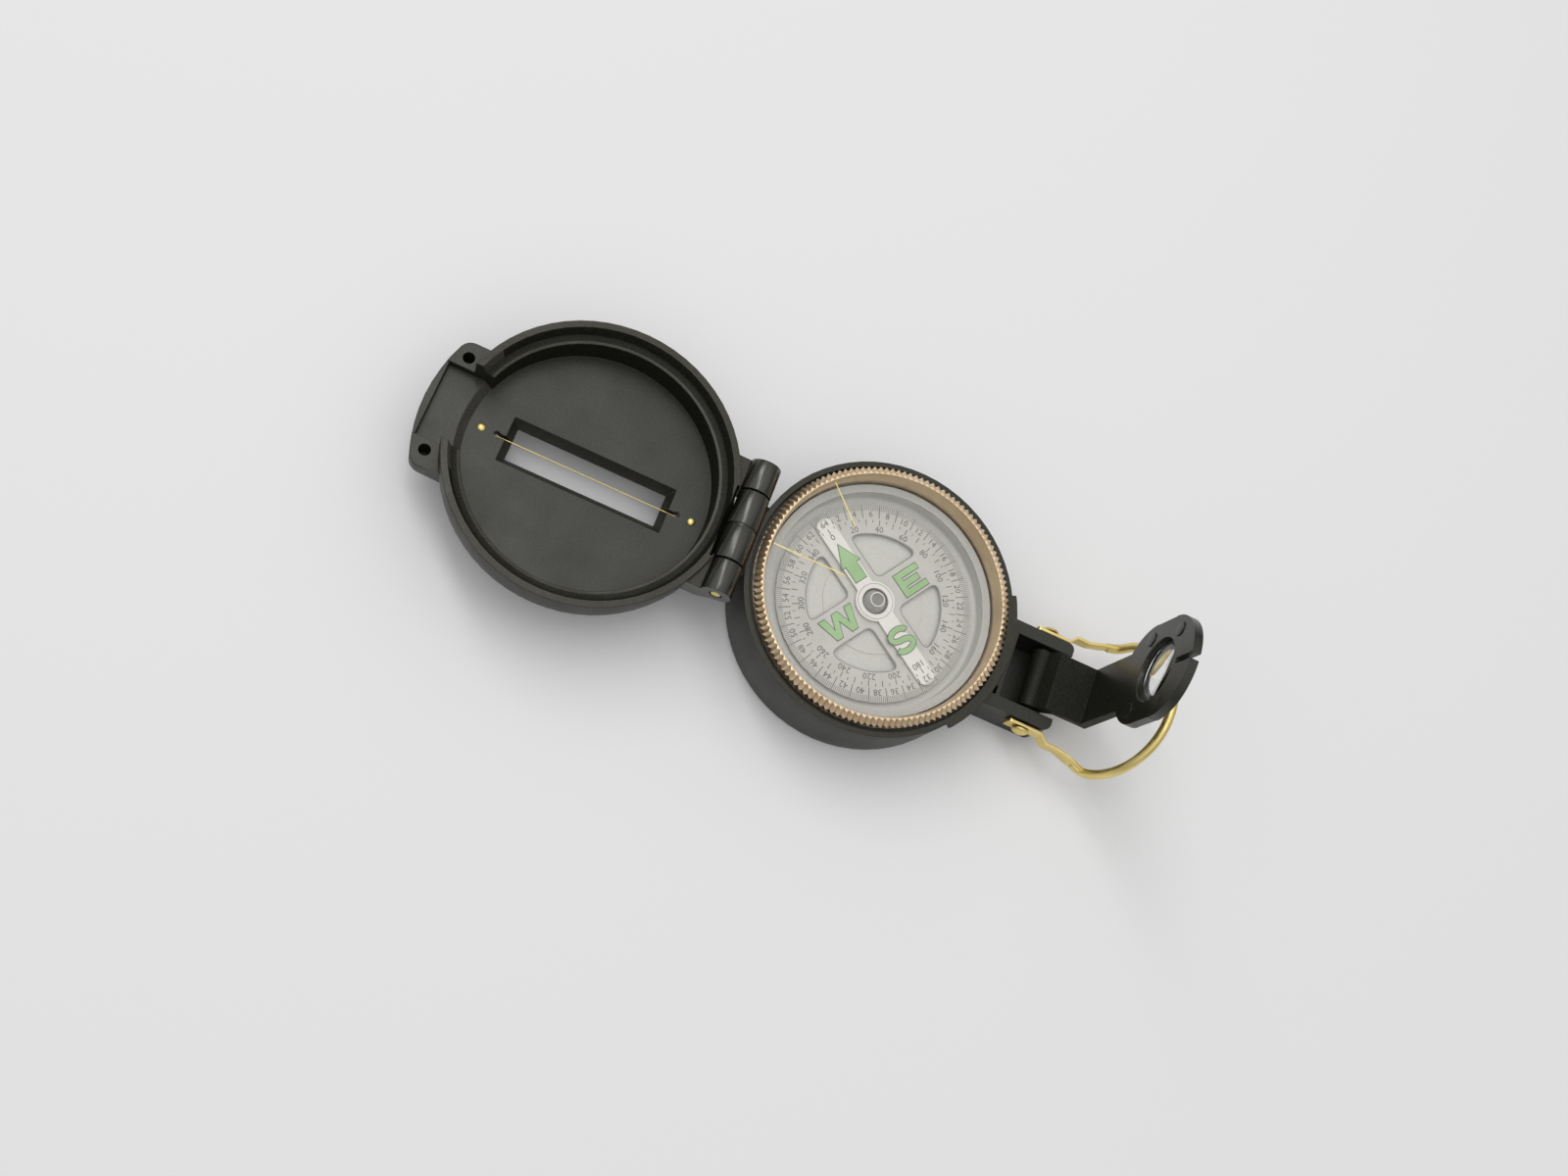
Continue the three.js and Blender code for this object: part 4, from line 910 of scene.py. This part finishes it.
def lettering(name, words, height, thickness):
    """Words as one mesh: each is its text, x, y, the height z and its turn in degrees."""
    work = bmesh.new()
    for text, x, y, z, turn in words:
        flat = flat_word(text, height, thickness)
        turning = Matrix.Rotation(math.radians(turn), 4, "Z")
        flat.transform(Matrix.Scale(MM, 4) @ Matrix.Translation((x, y, z)) @ turning)
        work.from_mesh(flat)
        bpy.data.meshes.remove(flat)
    bmesh.ops.remove_doubles(work, verts=work.verts, dist=MERGE)
    mesh = bpy.data.meshes.new(name)
    work.to_mesh(mesh)
    work.free()
    return linked(name, mesh)


def dial_words(numbers, full_turn, radius):
    """Numbers on a circle of the card, each at its share of the full turn with its top outwards;
    those over the magnet bar lie on its face."""
    turns = numbers / full_turn
    azimuths = bearing(turns)
    over_bar = np.isclose(np.mod(turns * 2, 1), 0)
    heights = np.where(over_bar, bar_high[2], card_high[2])
    a = np.radians(azimuths)
    texts = [str(number) for number in numbers]
    return list(zip(texts, radius * np.cos(a), radius * np.sin(a), heights, azimuths - 90))


words = dial_words(np.arange(2, MIL_MARKS + 1, 2), MIL_MARKS, MIL_NUMBER_RADIUS)
words += dial_words(np.arange(0, 360, 20), 360, DEGREE_NUMBER_RADIUS)
dress(lettering("dial_numbers", words, NUMBER_HEIGHT, 2 * INK), "card", "dial_print", dark_ink)

# %% [markdown]
# A thin grey line runs round each window, and another round the hub on the bar's ring. A line is a
# flat rectangle carried along a closed path. The path follows the window's own edge: two straight
# sides, an arc, and a parabola at each corner.

# %% Window outlines
WINDOW_EDGE = 3.6
WINDOW_RADIUS = 14.1
WINDOW_CORNER = 1.6
WINDOW_LINE = 0.16
ARC_STEPS = 24
CORNER_STEPS = 9
RING_LINE = (3.56, 3.66)


def spun(points, degrees):
    """Plan points turned about the card's middle: x cos a - y sin a and x sin a + y cos a."""
    a = math.radians(degrees)
    spin = np.array([[math.cos(a), -math.sin(a)], [math.sin(a), math.cos(a)]])
    return np.asarray(points) @ spin.T


def right_of(ahead):
    """Unit vectors to the right of plan vectors: (y, -x) over the length."""
    length = np.linalg.norm(ahead, axis=1)
    return np.stack([ahead[:, 1], -ahead[:, 0]], axis=-1) / length[:, None]


def window_line(quarter):
    """The outline of one window, turned by quarters: each path point p and its right-hand side n
    carry the section's corners, p + s n at height z."""
    edge, corner = WINDOW_EDGE, WINDOW_CORNER
    far = math.sqrt(WINDOW_RADIUS**2 - edge**2)
    start = math.atan2(edge, far) + corner / WINDOW_RADIUS
    angle = np.linspace(start, np.pi / 2 - start, ARC_STEPS)
    arc = WINDOW_RADIUS * np.stack([np.cos(angle), np.sin(angle)], axis=-1)
    t = np.linspace(0, 1, CORNER_STEPS)[:, None]
    path = np.concatenate([
        bent((far - corner, edge), (far, edge), arc[0], t),
        arc[1:-1],
        bent(arc[-1], (edge, far), (edge, far - corner), t),
        bent((edge, edge + corner), (edge, edge), (edge + corner, edge), t),
    ])
    path = spun(path, NORTH_DEG + 90 * quarter)
    side = right_of(np.roll(path, -1, axis=0) - np.roll(path, 1, axis=0))
    line = WINDOW_LINE
    section = np.array([(0, ink_low), (line, ink_low), (line, ink_top), (0, ink_top)])
    flat = path[:, None, :] + side[:, None, :] * section[None, :, :1]
    height = np.broadcast_to(section[None, :, 1:], flat.shape[:2] + (1,))
    grid = np.concatenate([flat, height], axis=-1)
    return grid.reshape(-1, 3), grid_quads(len(path), len(section), rows_closed=True)


ring_in, ring_out = RING_LINE
ring_profile = [
    (ring_in, bar_ink_low), (ring_out, bar_ink_low), (ring_out, bar_ink_top), (ring_in, bar_ink_top)
]
line_sets = [window_line(quarter) for quarter in range(4)]
line_sets.append(turned(ring_profile, columns=96, ring=True))
dress(new_piece("window_lines", *gathered(line_sets)), "card", "dial_print", grey_ink)

# %% [markdown]
# The letters E, S and W and the north arrow are laid on in thick green paint with a dark line round
# them. Their shapes are too bold for the font, so each is an outline of its own, drawn with east
# along x and north along y.

# %% Letter and arrow outlines
def ribbon(path, width):
    """The outline of a stroke: the path moved half its width to the right, and back on the left."""
    side = right_of(np.gradient(path, axis=0))
    return np.concatenate([path + side * width / 2, (path - side * width / 2)[::-1]])


def letter_e():
    """E as twelve corners: a spine and three bars, the middle one shorter."""
    west, east, south, north = 6.45, 12.2, -2.85, 2.2
    stroke, spine, short = 1.2, 1.35, 0.9
    inside = west + spine
    middle_low = (south + north) / 2 - stroke / 2
    middle_high = middle_low + stroke
    return [
        (west, south), (east, south), (east, south + stroke), (inside, south + stroke),
        (inside, middle_low), (east - short, middle_low), (east - short, middle_high),
        (inside, middle_high), (inside, north - stroke), (east, north - stroke),
        (east, north), (west, north),
    ]


def letter_w():
    """W as thirteen corners: four slanting strokes, and a flat peak in the middle as high as the
    ends. The left half mirrors the right one."""
    top, bottom, middle = 2.42, -2.45, -8.54
    upper_notch, lower_notch = -0.75, 0.75
    right = [
        (1.2, bottom), (2.55, bottom), (3.98, top), (2.5, top), (1.82, upper_notch), (0.68, top)
    ]
    left = [(-x, y) for x, y in right[::-1]]
    return [(x + middle, y) for x, y in right + left + [(0, lower_notch)]]


def letter_s():
    """S as a stroke along two ellipse arcs, one turning left over the top and one turning right
    round the bottom: x = reach cos a, y = rise sin a about each arc's middle."""
    rise, reach, stroke = 1.14, 1.95, 1.05
    middle = (0.05, -9.3)
    upper = np.radians(np.linspace(14, 270, 32))
    lower = np.radians(np.linspace(90, -166, 32))[1:]
    path = np.concatenate([
        np.stack([reach * np.cos(upper), rise + rise * np.sin(upper)], axis=-1),
        np.stack([reach * np.cos(lower), rise * np.sin(lower) - rise], axis=-1),
    ])
    return ribbon(path, stroke) + middle


def north_arrow():
    """An arrow of seven corners: shaft and head."""
    tip, neck, tail, half_head, half_shaft = 13.35, 8.8, 5.1, 2.2, 1.3
    return [
        (-half_shaft, tail), (half_shaft, tail), (half_shaft, neck), (half_head, neck), (0, tip),
        (-half_head, neck), (-half_shaft, neck),
    ]


# %% [markdown]
# Each outline becomes a flat slab of paint. The dark line is the same outline grown outwards and
# laid a little lower, so its rim shows all the way round. E and W lie on the card, while S and the
# arrow lie on the magnet bar.

# %% Letters and arrow on the card
GLOW_LINE = 0.16
GLOW_THICK = 0.12


def counterclockwise(outline):
    """The same outline, running counterclockwise: its signed area is made positive."""
    p = np.asarray(outline, dtype=float)
    x, y = p.T
    area = (x * np.roll(y, -1) - np.roll(x, -1) * y).sum()
    return p if area > 0 else p[::-1]


def grown(outline, by):
    """An outline moved outwards: each corner goes by (n1 + n2) / (1 + n1 . n2), with n1 and n2 the
    normals of its edges."""
    p = np.asarray(outline, dtype=float)
    normal = right_of(np.roll(p, -1, axis=0) - p)
    before = np.roll(normal, 1, axis=0)
    return p + by * (before + normal) / (1 + (before * normal).sum(axis=1))[:, None]


def slab(outline, low, high):
    """A plan outline as a flat slab: its points at two heights, two caps and a strip of sides."""
    p = np.asarray(outline)
    n = len(p)
    points = np.concatenate([np.column_stack([p, np.full(n, z)]) for z in (low, high)])
    i = np.arange(n)
    sides = np.stack([i, (i + 1) % n, (i + 1) % n + n, i + n], axis=-1).tolist()
    return points, [list(range(n))[::-1], list(range(n, 2 * n))] + sides


glow_parts, line_parts = [], []
for outline, ground in (
    (letter_e(), card_high[2]),
    (letter_w(), card_high[2]),
    (letter_s(), bar_high[2]),
    (north_arrow(), bar_high[2]),
):
    shape = spun(counterclockwise(outline), NORTH_DEG - 90)
    line_parts.append(slab(grown(shape, GLOW_LINE), ground - INK, ground + INK))
    glow_parts.append(slab(shape, ground, ground + GLOW_THICK))
dress(new_piece("glow_lines", *gathered(line_parts)), "card", "dial_print", dark_ink)
dress(new_piece("glow_marks", *gathered(glow_parts)), "card", "luminous_green", glow_green)

# %% [markdown]
# ## Pins, wire, lens and loop
# The hinge turns on a plain brass rod, and the eyepiece on a rivet with a low round head at each
# end. Both are profiles turned about Z and laid along Y. The model leaves the rivet more play than
# the real one has, and bright brass would gleam through the gap beside the barrel, so its shank gets
# the dull black finish as painted shade in that gap, and only its heads are brass.

# %% Hinge rod and rivet
PIN_EASING = 0.2
HEAD_HEIGHT = 1.0
SHANK_RADIUS = 1.0


def turned_pin(name, node, body, profile, axis, place, columns=48):
    """A turned brass pin drawn about Z and laid along an axis of the part."""
    points, quads = turned(profile, columns)
    return dress(new_piece(name, lying(points, axis, place), quads), body, "brass", brass, node)


def dome(radius, height, top, steps):
    """A quarter ellipse from the side to the middle: r cos t and top - h + h sin t."""
    turn = np.linspace(0, np.pi / 2, steps)
    curve = np.stack([radius * np.cos(turn), top - height + height * np.sin(turn)], axis=-1)
    curve[-1, 0] = 0
    return curve


hinge_half = (pin_high - pin_low) / 2
hinge_profile = rod_profile(hinge_half[0], -hinge_half[1], hinge_half[1], PIN_EASING)
turned_pin("hinge_rod", "hinge_pin", "base", hinge_profile, "Y", hinge)
rivet_low, rivet_high = box_mm("eyepiece_pin")
rivet_reach = rivet_high[1]
head_dome = dome((rivet_high[0] - rivet_low[0]) / 2, HEAD_HEIGHT, rivet_reach, steps=10)
rivet_upper = np.concatenate([[(SHANK_RADIUS, rivet_reach - HEAD_HEIGHT)], head_dome])
rivet_profile = np.concatenate([(rivet_upper * (1, -1))[::-1], rivet_upper])
rivet_axis = (rivet_low + rivet_high) / 2
rivet = turned_pin("eyepiece_rivet", "eyepiece_pin", "base", rivet_profile, "Y", rivet_axis)
middles, _ = face_places(rivet)
# Painted shade: the shank is painted black, so the gap beside the barrel shows dark.
repaint(rivet, np.abs(middles[:, 1]) < rivet_reach - 2 * HEAD_HEIGHT, dull_and_shaded_plastic)

# %% [markdown]
# Beyond each end of the slot a small brass peg with a round top stands in the cover's floor. On the
# real one it is pressed in tight. Here a flat black ring lies round its foot, because the solids
# leave a gap between peg and floor that would show as a dark line.

# %% Wire pegs
PEG_DOME = 0.55
PEG_RISE = 0.35
SEAT_OUTER = 1.22
SEAT_INNER = 0.86
SEAT_THICK = 0.5
seat_profile = [
    (SEAT_INNER, -SEAT_THICK), (SEAT_OUTER, -SEAT_THICK), (SEAT_OUTER, 0), (SEAT_INNER, 0)
]
seat_points, seat_quads = turned(seat_profile, columns=40, ring=True)
seats = []
for name, node in (("wire_peg_outer", "wire_pin_outer"), ("wire_peg_inner", "wire_pin_inner")):
    low, high = box_mm(node)
    middle = (low + high) / 2
    radius, _, reach = (high - low) / 2
    peg_profile = np.concatenate(
        [[(0, -reach), (radius, -reach)], dome(radius, PEG_DOME, reach, steps=9)]
    )
    turned_pin(name, node, "cover", peg_profile, "Z", middle, columns=32)
    seats.append((seat_points + (middle[0], middle[1], high[2] - PEG_RISE), seat_quads))
dress(new_piece("peg_seats", *gathered(seats)), "cover", "black_plastic", black_plastic)

# %% [markdown]
# The sighting wire is a straight tube along the middle of the slot, a little finer than its solid.
# The lens is two shallow bulges back to back on a short rim, turned about its own axis. The bulge is
# weaker than in the solid, since what lies behind the real lens looks hardly bent.

# %% Wire and lens
WIRE_SHARE = 0.8
WIRE_EASING = 0.05
LENS_EDGE = 0.5
LENS_BULGE = 0.25
wire_low, wire_high = box_mm("sighting_wire")
wire_half = (wire_high - wire_low) / 2
wire_profile = rod_profile(WIRE_SHARE * wire_half[1], -wire_half[0], wire_half[0], WIRE_EASING)
wire_middle = (wire_low + wire_high) / 2
turned_pin("sight_wire", "sighting_wire", "cover", wire_profile, "X", wire_middle, columns=16)


def lens_surface():
    """Two parabolas, bulge * (1 - s s) over the share s of the radius, back to back with a straight
    rim."""
    share = np.linspace(0, 1, 24)
    bulge = LENS_BULGE * (1 - share**2)
    radius = lens_high[1] * share
    half_edge = (lens_high[0] - lens_low[0]) / 2 - LENS_EDGE
    front = np.stack([radius, -half_edge - bulge], axis=-1)
    back = np.stack([radius, half_edge + bulge], axis=-1)[::-1]
    points, quads = turned(np.concatenate([front, back]), columns=96)
    return lying(points, "X", lens_middle), quads


dress(new_piece("lens", *lens_surface()), "eyepiece", "crystal", lens_clear, "magnifier_lens")

# %% [markdown]
# The thumb loop is brass wire, pressed flat into straps where it sits on the rivet. Its bends are
# already in the solid, so a copy with eased edges keeps them. Its edge angle is set higher than for
# the mouldings, so that the facets of the round wire are left to smooth shading.

# %% Thumb loop
LOOP_EDGE = 0.16
LOOP_EDGE_DEG = 40
brass_loop = moulded_copy("thumb_loop", "brass_loop", LOOP_EDGE, 3, LOOP_EDGE_DEG)
dress(brass_loop, "thumb_loop", "brass", brass, "thumb_loop")

# %% [markdown]
# ## Floor, light and camera
# The floor is plain and pale, and large enough to fill the picture from any side. A matte finish
# with hardly any gloss keeps it from mirroring the compass.

# %% Floor
FLOOR_HALF = 12.0
FLOOR_GREY = (0.82, 0.82, 0.82, 1)
floor_corners = [(x * FLOOR_HALF, y * FLOOR_HALF, 0) for x, y in ((-1, -1), (1, -1), (1, 1), (-1, 1))]
floor_mesh = bpy.data.meshes.new("floor")
floor_mesh.from_pydata(floor_corners, [], [(0, 1, 2, 3)])
floor = linked("floor", floor_mesh)
floor_paint, _, _ = finish(
    "floor_paint", Base_Color=FLOOR_GREY, Roughness=0.9, Specular_IOR_Level=0.1
)
floor_mesh.materials.append(floor_paint)
print("floor:", 2 * FLOOR_HALF, "metres across")

# %% [markdown]
# The world is a soft studio: bright overhead, dark lower down and a pale wall at the horizon. The
# dark band keeps upright black faces black, so only those that look up are grey, and the low wall
# gives side views a pale ground. A long strip light over the far side draws the streaks on hinge
# and loop.

# %% World and strip light
CEILING = (0.95, 0.95, 0.95)
DARK_BAND = (0.06, 0.06, 0.062)
LOW_WALL = (0.62, 0.62, 0.62, 1)
LOW_WALL_AT = 0.1
DARK_BAND_AT = 0.2
CEILING_AT = 0.8
world = bpy.data.worlds.new("studio")
bpy.context.scene.world = world
world.use_nodes = True
sky = world.node_tree
direction = sky.nodes.new("ShaderNodeTexCoord")
split = sky.nodes.new("ShaderNodeSeparateXYZ")
sky.links.new(direction.outputs["Generated"], split.inputs["Vector"])
sky_colour = sky.nodes["Background"].inputs["Color"]
blotched(sky, split.outputs["Z"], sky_colour, DARK_BAND, CEILING, DARK_BAND_AT, CEILING_AT)
sky.nodes["Color Ramp"].color_ramp.elements.new(LOW_WALL_AT).color = LOW_WALL
STRIP_PLACE = Vector((-0.27, 0.29, 0.80))
STRIP_WIDTH = 0.18
STRIP_LENGTH = 1.0
STRIP_POWER = 2.4
strip_data = bpy.data.lights.new("strip", "AREA")
strip_data.shape = "RECTANGLE"
strip_data.size = STRIP_WIDTH
strip_data.size_y = STRIP_LENGTH
strip_data.energy = STRIP_POWER
strip = linked("strip", strip_data)
strip.location = STRIP_PLACE
strip.rotation_euler = (-STRIP_PLACE).to_track_quat("-Z", "Y").to_euler()
print("strip light:", round(STRIP_PLACE.length, 2), "metres away")

# %% [markdown]
# The camera stands where the photograph was taken from. Its place, aim, roll and lens were found
# from the round edges of base, bezel and cover, which look like ellipses from there. The Standard
# view transform shows a colour about as it is written.

# %% Camera
CAMERA_PLACE = Vector((-66.08, -109.92, 300.90))
CAMERA_AIM = Vector((-16.137, -1.175, 0.0))
CAMERA_ROLL_DEG = 47.275
CAMERA_LENS = 36.675
SENSOR_WIDTH = 36
NEAREST = 0.01
camera_data = bpy.data.cameras.new("camera")
camera_data.lens = CAMERA_LENS
camera_data.sensor_width = SENSOR_WIDTH
camera_data.clip_start = NEAREST
camera = linked("camera", camera_data)
look = (CAMERA_AIM - CAMERA_PLACE).to_track_quat("-Z", "Y").to_matrix().to_4x4()
roll = Matrix.Rotation(math.radians(CAMERA_ROLL_DEG), 4, "Z")
camera.matrix_world = Matrix.Translation(CAMERA_PLACE * MM) @ look @ roll
bpy.context.scene.camera = camera
bpy.context.scene.view_settings.view_transform = "Standard"
print("camera:", round((CAMERA_PLACE - CAMERA_AIM).length), "mm from what it looks at")
